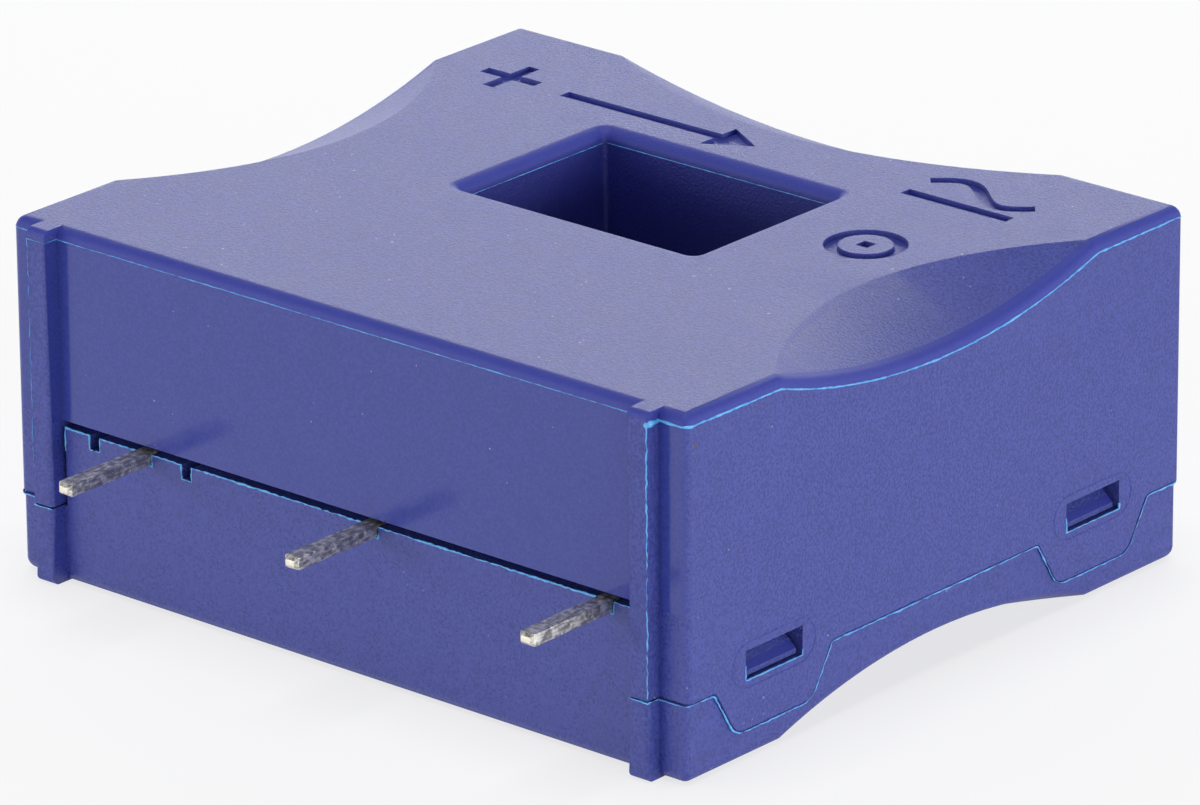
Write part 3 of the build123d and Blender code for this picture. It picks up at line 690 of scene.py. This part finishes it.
strokes = (
    plus_sign(-19.0, 36.0, 2.1)
    + [line((ARROW_TAIL, ARROW_Y), (ARROW_NECK, ARROW_Y))]
    + wave_over_bar(15.2, 37.6, 7.6, 1.1)
    + ring_and_dot(15.3, 27.0, 2.0)
)
cutter_mesh = groove_cutter(strokes)
cutter_shape = bmesh.new()
cutter_shape.from_mesh(cutter_mesh)
arrow_head(cutter_shape, ARROW_HEAD, ARROW_Y, ARROW_REACH)
cutter_shape.to_mesh(cutter_mesh)
cutter_shape.free()
cutter = bpy.data.objects.new("groove_cutter", cutter_mesh)
bpy.context.scene.collection.objects.link(cutter)
print("strokes:", len(strokes), "cutter faces:", len(cutter_mesh.polygons))


# %% The signs cut into the case
def cut_grooves(piece, tool):
    """Takes the tool's solids out of the piece and keeps the result as the piece's mesh."""
    cut = piece.modifiers.new("grooves", "BOOLEAN")
    cut.operation = "DIFFERENCE"
    cut.solver = "EXACT"
    cut.use_self = True
    cut.object = tool
    mesh = shown_mesh(piece)
    piece.modifiers.remove(cut)
    old = piece.data
    piece.data = mesh
    bpy.data.meshes.remove(old)
    bpy.data.objects.remove(tool)


cut_grooves(case_skin, cutter)
print("case after the grooves:", len(case_skin.data.polygons), "faces")

# %% [markdown]
# No moulded edge is perfectly crisp, so a Bevel modifier wears the square ones round by
# a few hundredths of a millimetre. Smooth shading by angle then keeps the rim's fillets
# round and the crisp edges crisp, and the Weighted Normal modifier lets the large flat
# faces stay flat beside the small faces of the fillets.

# %% Shading of the mouldings
CRISP_ANGLE = math.radians(16)
WORN_ANGLE = math.radians(60)
WORN_WIDTH = 0.06 * MM


def shade_by_angle(piece):
    worn = piece.modifiers.new("edges worn round", "BEVEL")
    worn.limit_method = "ANGLE"
    worn.angle_limit = WORN_ANGLE
    worn.width = WORN_WIDTH
    worn.segments = 2
    piece.data.shade_smooth()
    piece.data.set_sharp_from_angle(angle=CRISP_ANGLE)
    weighting = piece.modifiers.new("flat faces stay flat", "WEIGHTED_NORMAL")
    weighting.keep_sharp = True
    weighting.weight = 80
    print(piece.name, "has", [modifier.name for modifier in piece.modifiers])


shade_by_angle(case_skin)
shade_by_angle(lid_skin)

# %% [markdown]
# Where two halves of a mould meet, plastic creeps into the joint and leaves flash: a
# thin, ragged, nearly see-through lip that looks light blue. It runs along the foot of
# the rim's fillet, along the parting between case and lid and round the tabs. Each line
# follows the edges of the moulding itself, which the helpers below find: they take the
# rim of a flat face, leave out its straight upright edges and keep the top one.

# %% The outlines that the flash follows
UPRIGHT = 1.0 * MM


def flat_outlines(node, axis, side, level):
    """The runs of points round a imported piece's flat face that looks along an axis."""
    shape = merged_shape(node)

    def in_face(face):
        return face.normal[axis] * side > 0.999 and abs(face.verts[0].co[axis] - level) < NEAR

    rim = [edge for edge in shape.edges if sum(in_face(face) for face in edge.link_faces) == 1]
    beside = {}
    for edge in rim:
        first, second = edge.verts
        beside.setdefault(first, []).append(second)
        beside.setdefault(second, []).append(first)
    runs = []
    while any(beside.values()):
        start = min((vert for vert in beside if beside[vert]), key=lambda vert: tuple(vert.co))
        run = [start]
        while beside[run[-1]]:
            there = beside[run[-1]].pop()
            beside[there].remove(run[-1])
            run.append(there)
        runs.append([vert.co.copy() for vert in run])
    shape.free()
    return runs


def without_uprights(run):
    """The stretches of a run that are left when its straight upright edges are cut out."""
    parts, part = [], [run[0]]
    for before, here in zip(run, run[1:]):
        step = here - before
        if abs(step.z) > UPRIGHT and abs(step.x) + abs(step.y) < 10 * NEAR:
            parts.append(part)
            part = []
        part.append(here)
    parts.append(part)
    return parts


def stretch(node, axis, side, level):
    """A face's top edge, from the low end of the axis along it to the high end."""
    along = 1 - axis

    def width(part):
        return abs(part[-1][along] - part[0][along])

    def mean_height(part):
        return sum(point.z for point in part) / len(part)

    runs = flat_outlines(node, axis, side, level)
    parts = [part for run in runs for part in without_uprights(run) if len(part) > 1]
    widest = max(width(part) for part in parts)
    parts = [part for part in parts if width(part) > widest - UPRIGHT]
    chosen = sorted(parts, key=mean_height)[-1]
    return chosen if chosen[0][along] < chosen[-1][along] else chosen[::-1]


# %% The outlines of this housing
def print_ends(*runs):
    for run in runs:
        print(len(run), "points from", run[0] / MM, "to", run[-1] / MM)


rim_edge = stretch("case", 0, 1, SIDE)
back_rim_edge = stretch("case", 1, 1, BACK)
parting_edge = stretch("lid", 0, 1, lid_high.x)
back_parting_edge = stretch("lid", 1, 1, lid_high.y)
panel_edge = stretch("lid", 1, -1, FRONT)
print_ends(rim_edge, back_rim_edge, parting_edge, back_parting_edge, panel_edge)

# %% [markdown]
# The sides of the housing are alike, so one set of outlines serves all round: the right
# side's edges are mirrored for the left, and a quarter circle carries each line round a
# corner. The lines at the front start at the stand-off ribs.

# %% Lines all round the housing
RIM_FOOT = TOP - RIM_RADIUS
CORNER_STEPS = 6


def mirrored(run):
    """The same run on the other side."""
    return [Vector((-point.x, point.y, point.z)) for point in run]


def corner_arc(x, y, z, outwards):
    """A quarter circle about (x, y), from facing forwards or backwards to facing right."""
    shares = [1 - step / CORNER_STEPS for step in range(CORNER_STEPS + 1)]
    turns = [math.radians(90 * outwards * share) for share in shares]
    return [
        Vector((x + CORNER_RADIUS * math.cos(turn), y + CORNER_RADIUS * math.sin(turn), z))
        for turn in turns
    ]


def round_the_side(edge):
    """A side's edge with a corner at each end and the short line to the right rib."""
    first, last = edge[0], edge[-1]
    front_arc = corner_arc(first.x - CORNER_RADIUS, first.y, first.z, -1)
    back_arc = corner_arc(last.x - CORNER_RADIUS, last.y, last.z, 1)
    at_rib = Vector((RIB_OUTER, FRONT, first.z))
    return [at_rib] + front_arc + edge[1:-1] + back_arc[::-1]


rim_line = round_the_side(rim_edge)
parting_line = round_the_side(parting_edge)
print_ends(rim_line, parting_line)

# %% [markdown]
# The flash is best made as a curve with a round section, because each of its points has
# a radius of its own. The points are resampled a tenth of a millimetre apart. Smooth
# noise at each sets how thick the lip is there and how far it strays, and coarser noise
# breaks it up over longer stretches. The noise reads the point's place, and a seed is
# set, because noise vectors would start from the clock without one, and each run would
# differ. Each set of lines becomes one mesh.

# %% Ragged lines
NOISE_SEED = 1
noise.seed_set(NOISE_SEED)
FLASH_STEP = 0.10 * MM
RAGGED_SIZE = 0.35 * MM
BROKEN_SIZE = 2.2 * MM
FINE_SHARE, BROKEN_SHARE = 1.3, 0.9
THINNEST = 0.08
SWAY_OFFSET = Vector((7.3, 1.1, 4.2))
FLASH_COLOUR = (0.060, 0.330, 0.780, 1.0)
FLASH_PALE = (0.160, 0.480, 0.880, 1.0)


def resampled(points):
    """Points at even steps along a run of straight pieces."""
    spots = [points[0]]
    for before, here in zip(points, points[1:]):
        count = max(1, round((here - before).length / FLASH_STEP))
        spots += [before.lerp(here, index / count) for index in range(1, count + 1)]
    return spots


def ragged_tube(curve, points, radius, wander, raggedness):
    """Adds one line to a curve object's data, uneven in thickness and place."""
    spots = resampled(points)
    spline = curve.splines.new("POLY")
    spline.points.add(len(spots) - 1)
    for point, spot in zip(spline.points, spots):
        fine = noise.noise(spot / RAGGED_SIZE)
        broken = noise.noise(spot / BROKEN_SIZE)
        sway = noise.noise_vector(spot / RAGGED_SIZE + SWAY_OFFSET) * wander
        uneven = 1 + raggedness * (FINE_SHARE * fine + BROKEN_SHARE * broken)
        point.co = (*(spot + sway), 1)
        point.radius = radius * max(THINNEST, uneven)


def drawn_lines(name, finish, runs, wander=0.02 * MM, raggedness=0.6):
    """One piece with a tube along each of the runs, given as (points, radius in mm)."""
    curve = bpy.data.curves.new(name, "CURVE")
    curve.dimensions = "3D"
    curve.bevel_depth = 1.0
    curve.bevel_resolution = 1
    curve.use_fill_caps = True
    for points, radius in runs:
        ragged_tube(curve, points, radius * MM, wander, raggedness)
    shape = bmesh.new()
    shape.from_mesh(mesh_of_curve(curve))
    bmesh.ops.recalc_face_normals(shape, faces=shape.faces)
    piece = new_piece(name, shape, finish, "housing")
    piece.data.shade_smooth()
    print(name, len(piece.data.polygons), "faces")


flash_blue = Finish("flash_blue", Roughness=0.35)
flash_shade = flash_blue.remap(flash_blue.noise(0.5 * MM, detail=2.0), *MIDDLE_SPREAD)
flash_blue.feed("Base Color", flash_blue.mix(flash_shade, FLASH_COLOUR, FLASH_PALE))

# %% [markdown]
# The rim's flash is thickest at the near right corner, round the right rib, where the
# mould is most worn, and thins out towards the back and the left. The rib's own edge
# has a wilder one that wanders off.

# %% Flash along the rim and the ribs
NEAR_CORNER_POINTS = CORNER_STEPS + 2

rib_rim = [Vector((RIB_OUTER, RIB_FRONT, RIM_FOOT)), Vector((RIB_OUTER, FRONT, RIM_FOOT))]
rib_edge_heights = (RIM_FOOT, RIM_FOOT / 2, lid_low.z + 5 * MM)
rib_edge = [Vector((RIB_OUTER, RIB_FRONT, height)) for height in rib_edge_heights]
left_rib_rim = [
    Vector((-RIB_OUTER, RIB_FRONT, RIM_FOOT)),
    Vector((-RIB_INNER, RIB_FRONT, RIM_FOOT)),
    Vector((-RIB_INNER, FRONT, RIM_FOOT)),
]
left_rib_edge = [
    Vector((-RIB_OUTER, RIB_FRONT, height)) for height in (RIM_FOOT, RIM_FOOT / 3)
]
front_rim = [Vector((-RIB_INNER, FRONT, RIM_FOOT)), Vector((RIB_INNER, FRONT, RIM_FOOT))]
drawn_lines(
    "rim_flash",
    flash_blue,
    [
        (rib_rim, 0.075),
        (rim_line[:NEAR_CORNER_POINTS], 0.075),
        (rim_line[NEAR_CORNER_POINTS - 1 :], 0.050),
        (mirrored(rim_line), 0.030),
        (back_rim_edge, 0.035),
        (front_rim, 0.022),
        (left_rib_rim, 0.024),
    ],
)
drawn_lines(
    "rib_flash",
    flash_blue,
    [(rib_edge, 0.027), (left_rib_edge, 0.012), (rib_rim, 0.085), (rib_edge[:2], 0.012)],
    wander=0.06 * MM,
    raggedness=1.2,
)

# %% [markdown]
# The lid lies a tenth of a millimetre inside the case, so the parting's flash is moved
# out to just under the case's own face, or it would be lost below it. Right above it a
# dark hairline is painted as the shadow in the joint: a second, evener set of lines,
# raised square to the first so that the two keep apart on the slopes of the tabs as well.
# The notched top edge of the lid's front panel has flash of its own, which hangs down a
# little at its two ends.

# %% Flash along the parting, and a painted shadow in its joint
GAP_RISE = 0.085 * MM
LINE_INSET = 0.035 * MM
GAP_RADIUS = 0.050
# The joint's dark hairline is painted shadow: a dark tube where the case's edge shades the
# joint.
GAP_SHADOW_COLOUR = (0.005, 0.015, 0.160, 1.0)


def raised(points, rise):
    """A run on the lid moved up by a rise square to itself, and out to the case's face."""
    outwards = Vector(
        ((SIDE - LINE_INSET) / lid_high.x, (BACK - LINE_INSET) / lid_high.y, 1.0)
    )
    moved = []
    for before, here, after in zip(points[:1] + points, points, points[1:] + points[-1:]):
        ahead = (after - before).normalized()
        level = math.hypot(ahead.x, ahead.y)
        up = Vector((-ahead.x * ahead.z / level, -ahead.y * ahead.z / level, level))
        moved.append((here + up * rise) * outwards)
    return moved


parting_lines = [
    (parting_line, 0.045),
    (mirrored(parting_line), 0.038),
    (back_parting_edge, 0.038),
]
rib_parting = [
    Vector((RIB_OUTER, FRONT, parting_line[0].z)),
    Vector((RIB_OUTER, RIB_FRONT, parting_line[0].z)),
    Vector((RIB_INNER, RIB_FRONT, parting_line[0].z)),
]
drawn_lines(
    "parting_flash",
    flash_blue,
    [(raised(points, 0), radius) for points, radius in parting_lines]
    + [(rib_parting, 0.040), (mirrored(rib_parting), 0.032)],
    wander=0.03 * MM,
    raggedness=0.9,
)
# A dark tube stands in for the shade in the parting's joint: a painted shadow.
gap_shadow = Finish("gap_shadow", Base_Color=GAP_SHADOW_COLOUR, Roughness=0.8)
drawn_lines(
    "parting_gap_shadow",
    gap_shadow,
    [(raised(points, GAP_RISE), GAP_RADIUS) for points, radius in parting_lines],
    raggedness=0.3,
)
panel_ends = [
    [panel_edge[0], panel_edge[0] - Vector((0, 0, 1.4 * MM))],
    [panel_edge[-1], panel_edge[-1] - Vector((0, 0, 0.4 * MM))],
]
drawn_lines(
    "panel_flash",
    flash_blue,
    [(panel_edge, 0.045)] + [(end, 0.030) for end in panel_ends],
    wander=0.05 * MM,
    raggedness=1.0,
)

# %% [markdown]
# Each latch window has a ragged lip along its lower edge, and a faint raised outline
# round it, where an insert meets the main mould. The mouth of the conductor's window
# shows the foot of its fillet as a thin line.

# %% Latch windows and the mouth
LATCH_PLACES = (FRONT + 7.3 * MM, FRONT + 35.5 * MM)
LATCH_HALF_WIDTH = 2.425 * MM
LATCH_FOOT = 4.7 * MM
LATCH_HEIGHT = 1.75 * MM
LIP_NEAR_SHARE, LIP_FAR_SHARE = 0.5, 0.2
INSERT_MARGIN = 0.45 * MM
STADIUM_STEPS = 10


def latch_lip(y):
    near, far = y - LATCH_HALF_WIDTH, y + LATCH_HALF_WIDTH
    return [
        Vector((SIDE, near, LATCH_FOOT + LIP_NEAR_SHARE * LATCH_HEIGHT)),
        Vector((SIDE, near, LATCH_FOOT)),
        Vector((SIDE, far, LATCH_FOOT)),
        Vector((SIDE, far, LATCH_FOOT + LIP_FAR_SHARE * LATCH_HEIGHT)),
    ]


def insert_outline(y):
    """A flat oval round a latch window, as a closed run of points."""
    radius = LATCH_HEIGHT / 2 + INSERT_MARGIN
    middle = LATCH_FOOT + LATCH_HEIGHT / 2
    run = []
    for end, first in ((1, -90), (-1, 90)):
        centre_y = y + end * (LATCH_HALF_WIDTH + INSERT_MARGIN - radius / 2)
        for step in range(STADIUM_STEPS + 1):
            turn = math.radians(first + 180 * step / STADIUM_STEPS)
            there = (centre_y + radius * math.cos(turn), middle + radius * math.sin(turn))
            run.append(Vector((SIDE, *there)))
    return run + run[:1]


def both_sides(run_at, radius):
    """A run round each latch window of the right side and of the left, with its radius."""
    runs = [run_at(y) for y in LATCH_PLACES]
    return [(run, radius) for run in runs + [mirrored(run) for run in runs]]


mouth_foot = TOP - MOUTH_RADIUS
mouth_run = [
    Vector((-WINDOW_HALF, WINDOW_NEAR, mouth_foot)),
    Vector((-WINDOW_HALF, WINDOW_FAR, mouth_foot)),
    Vector((WINDOW_HALF, WINDOW_FAR, mouth_foot)),
]
drawn_lines("latch_flash", flash_blue, both_sides(latch_lip, 0.045))
drawn_lines("mouth_flash", flash_blue, [(mouth_run, 0.020)], wander=0.01 * MM)
insert_runs = both_sides(insert_outline, 0.024)
drawn_lines("insert_lines", housing_blue, insert_runs, wander=0.0, raggedness=0.1)

# %% [markdown]
# The pins are cut from flat tinned wire. Their long edges are rounded by the rolling,
# the tin is a little uneven, and the cut ends show the paler metal inside. A small
# bevel, cuts along the length and a slight push of each point make the shape, and the
# finish has streaks that run along the pin.

# %% Pins
PIN_TIP = case_low.y - 5.65 * MM
PIN_CUT_END = 0.04 * MM
PIN_BEVEL = 0.07 * MM
PIN_LONG_EDGE = 3 * MM
PIN_CUTS = 36
PIN_UNEVEN = 0.022 * MM
PIN_UNEVEN_SIZE = 1.1 * MM
STREAK_SIZE = 0.16 * MM
STREAK_FACTORS = (1, 0.14, 1)
PATCH_SIZE = 0.38 * MM
TIN_SPREAD = (0.44, 0.58)
TIN_HEIGHT = 0.06 * MM
TIN_DARK = (0.270, 0.262, 0.258, 1.0)
TIN_LIGHT = (0.800, 0.775, 0.725, 1.0)
CUT_END = (0.900, 0.860, 0.720, 1.0)

tin = Finish("dull_tin", Metallic=0.85)
streak_places = tin.stretched(STREAK_FACTORS)
streaks = tin.noise(STREAK_SIZE, detail=4.0, roughness=0.7, vector=streak_places)
patches = tin.noise(PATCH_SIZE, detail=4.0, roughness=0.65)
tin_shade = tin.remap(streaks * 0.5 + patches * 0.5, *TIN_SPREAD)
cut_end = tin.remap(tin.axes()[1], PIN_TIP, PIN_TIP + PIN_CUT_END, 1.0, 0.0)
tin.feed("Base Color", tin.mix(cut_end, tin.mix(tin_shade, TIN_DARK, TIN_LIGHT), CUT_END))
tin.feed("Roughness", tin.remap(patches, *WIDE_SPREAD, 0.30, 0.52))
tin.feed("Metallic", tin.remap(cut_end, 0, 1, 0.85, 0.25))
tin.feed("Normal", tin.bump(streaks * 0.6 + patches * 0.4, TIN_HEIGHT, 0.9))


def uneven_pin(node):
    """A pin with rolled edges, cut along its length and pushed slightly out of true."""
    shape = merged_shape(node)
    bmesh.ops.bevel(
        shape,
        geom=shape.edges[:],
        offset=PIN_BEVEL,
        segments=2,
        profile=0.5,
        affect="EDGES",
        material=-1,
    )
    long_edges = [edge for edge in shape.edges if edge.calc_length() > PIN_LONG_EDGE]
    bmesh.ops.subdivide_edges(shape, edges=long_edges, cuts=PIN_CUTS, use_grid_fill=True)
    for vert in shape.verts:
        if vert.co.y < FRONT:
            vert.co += noise.noise_vector(vert.co / PIN_UNEVEN_SIZE) * PIN_UNEVEN
    piece = new_piece(node + "_worked", shape, tin, "pin_tin", node)
    piece.data.shade_smooth()
    piece.data.set_sharp_from_angle(angle=CRISP_ANGLE)
    return piece


pins = [uneven_pin(node) for node in ("pin_left", "pin_middle", "pin_right")]
print("pin faces:", [len(pin.data.polygons) for pin in pins])

# %% [markdown]
# Nothing inside shows while the housing is closed, but the pieces are used apart from
# it too, so each has its own finish. Their shapes are right as they come, and only
# their material slots are filled. One helper makes a finish of two shades in patches,
# and the other spreads a finish over the nodes that share it.


# %% Helpers for the pieces inside
def dress(finish, *nodes):
    for node in nodes:
        for slot in frame["nodes"][node].material_slots:
            slot.material = finish.material
    print(finish.material.name, "on", ", ".join(nodes))


def mottled(name, dark, light, size, roughness, bump=0.0, grain=None, **fixed):
    """A finish of two shades in patches, with its roughness and bump from the same noise."""
    finish = Finish(name, **fixed)
    places = finish.stretched(grain) if grain else None
    patches = finish.noise(size, detail=4.0, vector=places)
    shade = finish.remap(patches, *MIDDLE_SPREAD)
    finish.feed("Base Color", finish.mix(shade, (*dark, 1.0), (*light, 1.0)))
    finish.feed("Roughness", finish.remap(patches, *WIDE_SPREAD, *roughness))
    if bump:
        finish.feed("Normal", finish.bump(patches, bump * MM, 0.5))
    return finish


# %% [markdown]
# The core's sheets are annealed nickel-iron, a warm grey with a faint oxide bloom. The
# formers and the holder are black glass-filled mouldings, a touch grey where the glass
# comes to the surface.

# %% Core, formers and holder
SHEET_GREYS = (0.17, 0.165, 0.16), (0.34, 0.33, 0.31)
FORMER_BLACKS = (0.012, 0.012, 0.013), (0.035, 0.035, 0.037)

core_grey = mottled(
    "annealed_sheet", *SHEET_GREYS, 1.2 * MM, (0.30, 0.55), bump=0.01, Metallic=0.9
)
former_black = mottled(
    "glass_filled_black", *FORMER_BLACKS, 0.25 * MM, (0.42, 0.60), bump=0.03
)
dress(core_grey, "core_laminations", "yoke_left", "yoke_right")
dress(former_black, "bobbin_left", "bobbin_right", "hall_holder")

# %% [markdown]
# The windings are enamelled copper, laid turn beside turn. The turns run round the
# core's limbs, so a sine of the place along the limb gives their ridges as bump, and a
# slow noise lets the enamel's colour drift. The tape over them is amber polyester film.

# %% Windings, their leads and the tape
TURN_PITCH = 0.30 * MM
TURN_HEIGHT = 0.08 * MM
COPPERS = (0.50, 0.16, 0.045), (0.72, 0.28, 0.10)
AMBERS = (0.62, 0.36, 0.035), (0.78, 0.50, 0.08)

copper = Finish("enamelled_copper", Metallic=1.0)
turn = copper.maths("SINE", copper.axes()[1] * (2 * math.pi / TURN_PITCH))
enamel = copper.remap(copper.noise(1.5 * MM, detail=3.0), *MIDDLE_SPREAD)
copper.feed("Base Color", copper.mix(enamel, (*COPPERS[0], 1.0), (*COPPERS[1], 1.0)))
copper.feed("Roughness", copper.remap(turn, -1, 1, 0.42, 0.22))
copper.feed("Normal", copper.bump(turn, TURN_HEIGHT, 0.8))
wire = mottled("copper_wire", *COPPERS, 0.5 * MM, (0.22, 0.36), Metallic=1.0)
tape = mottled("amber_tape", *AMBERS, 2.2 * MM, (0.14, 0.26), bump=0.02)
dress(copper, "winding_left", "winding_right")
dress(wire, "coil_leads")
dress(tape, "tape_left", "tape_right")

# %% [markdown]
# The board is glass laminate under a green mask. The mask covers its two faces, so the
# way a surface faces tells it from the straw-coloured cut edge. Wide tracks lie under
# the mask and lift it slightly, which a stepped noise on a coarse grid suggests.

# %% Board and solder
TRACK_SIZE = 5.0 * MM
TRACK_LEVEL = 0.52
TRACK_HEIGHT = 0.03 * MM
WEAVE_SIZE = 0.4 * MM
MASK_GREEN = (0.010, 0.085, 0.030, 1.0)
TRACK_GREEN = (0.018, 0.150, 0.048, 1.0)
CUT_LAMINATE = (0.56, 0.48, 0.26, 1.0)
SOLDER_GREYS = (0.42, 0.42, 0.43), (0.66, 0.66, 0.65)

board = Finish("masked_board")
on_face = board.maths("ABSOLUTE", board.facing()[1]) > 0.5
tracks = board.noise(TRACK_SIZE, detail=0.0) > TRACK_LEVEL
weave = board.noise(WEAVE_SIZE, detail=2.0)
mask_green = board.mix(tracks, MASK_GREEN, TRACK_GREEN)
board.feed("Base Color", board.mix(on_face, CUT_LAMINATE, mask_green))
board.feed("Roughness", board.remap(weave, *WIDE_SPREAD, 0.24, 0.40))
board.feed("Normal", board.bump(tracks * 0.8 + weave * 0.2, TRACK_HEIGHT, 0.5))
solder = mottled(
    "reflowed_solder", *SOLDER_GREYS, 0.6 * MM, (0.16, 0.34), bump=0.02, Metallic=1.0
)
dress(board, "circuit_board")
dress(solder, "solder_joints")

# %% [markdown]
# The moulded parts on the board are black epoxy with a fine sparkle of filler, their
# legs are matt tin, and the two cans are drawn aluminium with fine rings round their
# tops.

# %% Chips, legs and cans
EPOXY_BLACKS = (0.010, 0.010, 0.011), (0.030, 0.030, 0.031)
LEG_GREYS = (0.38, 0.38, 0.37), (0.60, 0.60, 0.58)
CAN_GREYS = (0.52, 0.53, 0.55), (0.76, 0.77, 0.78)

epoxy = mottled("black_epoxy", *EPOXY_BLACKS, 0.12 * MM, (0.50, 0.68), bump=0.02)
leg_tin = mottled(
    "matt_tin",
    *LEG_GREYS,
    0.35 * MM,
    (0.34, 0.52),
    bump=0.01,
    grain=(1, 0.3, 1),
    Metallic=0.95,
)
can_metal = mottled(
    "drawn_aluminium",
    *CAN_GREYS,
    0.5 * MM,
    (0.22, 0.38),
    bump=0.01,
    grain=(1, 0.15, 1),
    Metallic=1.0,
)
dress(epoxy, "amplifier_chip", "transistor_left", "transistor_right", "hall_element")
dress(leg_tin, "amplifier_legs", "transistor_legs", "hall_leads", "coil_posts")
dress(can_metal, "supply_capacitors")

# %% [markdown]
# The diodes carry a pale band at one end, and the chip resistors and ceramic capacitors
# have tinned ends. They stand in mirrored pairs about the middle of the board, so the
# distance from the middle tells an end from the body.

# %% Banded diodes, resistors and ceramic capacitors
DIODE_OFFSET = 16.3 * MM
DIODE_BAND_NEAR = 1.1 * MM
DIODE_BAND_FAR = 1.6 * MM
DIODE_BLACK = (0.014, 0.014, 0.015, 1.0)
DIODE_PALE = (0.55, 0.55, 0.53, 1.0)
RESISTOR_OFFSET = 1.6 * MM
RESISTOR_BLACK = (0.020, 0.020, 0.024, 1.0)
CERAMIC_OFFSET = 4.2 * MM
CERAMIC_BROWN = (0.42, 0.27, 0.14, 1.0)
CHIP_BODY_HALF = 0.62 * MM
SPECKLE_MOST = 0.25
TINNED = (0.62, 0.62, 0.60, 1.0)


def from_middle(finish, offset):
    """How far along X a point is from the middle of its own piece, one each side."""
    return finish.maths("ABSOLUTE", finish.axes()[0]) - offset


def end_capped(name, offset, body):
    """A chip part's finish: a fired body between two tinned ends."""
    finish = Finish(name)
    capped = finish.maths("ABSOLUTE", from_middle(finish, offset)) > CHIP_BODY_HALF
    fine = finish.noise(0.15 * MM, detail=2.0)
    speckle = finish.remap(fine, *WIDE_SPREAD, 0.0, SPECKLE_MOST)
    finish.feed("Base Color", finish.mix(capped, finish.mix(speckle, body, TINNED), TINNED))
    finish.feed("Metallic", capped * 0.95)
    finish.feed("Roughness", finish.remap(speckle, 0.0, SPECKLE_MOST, 0.30, 0.48))
    return finish


diode = Finish("banded_epoxy")
along = from_middle(diode, DIODE_OFFSET)
band = (along > DIODE_BAND_NEAR) * (along < DIODE_BAND_FAR)
diode_grain = diode.noise(0.12 * MM, detail=3.0)
diode.feed("Base Color", diode.mix(band, DIODE_BLACK, DIODE_PALE))
diode.feed("Roughness", diode.remap(diode_grain, *WIDE_SPREAD, 0.50, 0.66))
diode.feed("Normal", diode.bump(diode_grain, 0.02 * MM, 0.4))
dress(diode, "clamp_diodes")
dress(end_capped("fired_resistor", RESISTOR_OFFSET, RESISTOR_BLACK), "chip_resistors")
dress(end_capped("fired_ceramic", CERAMIC_OFFSET, CERAMIC_BROWN), "chip_capacitors")
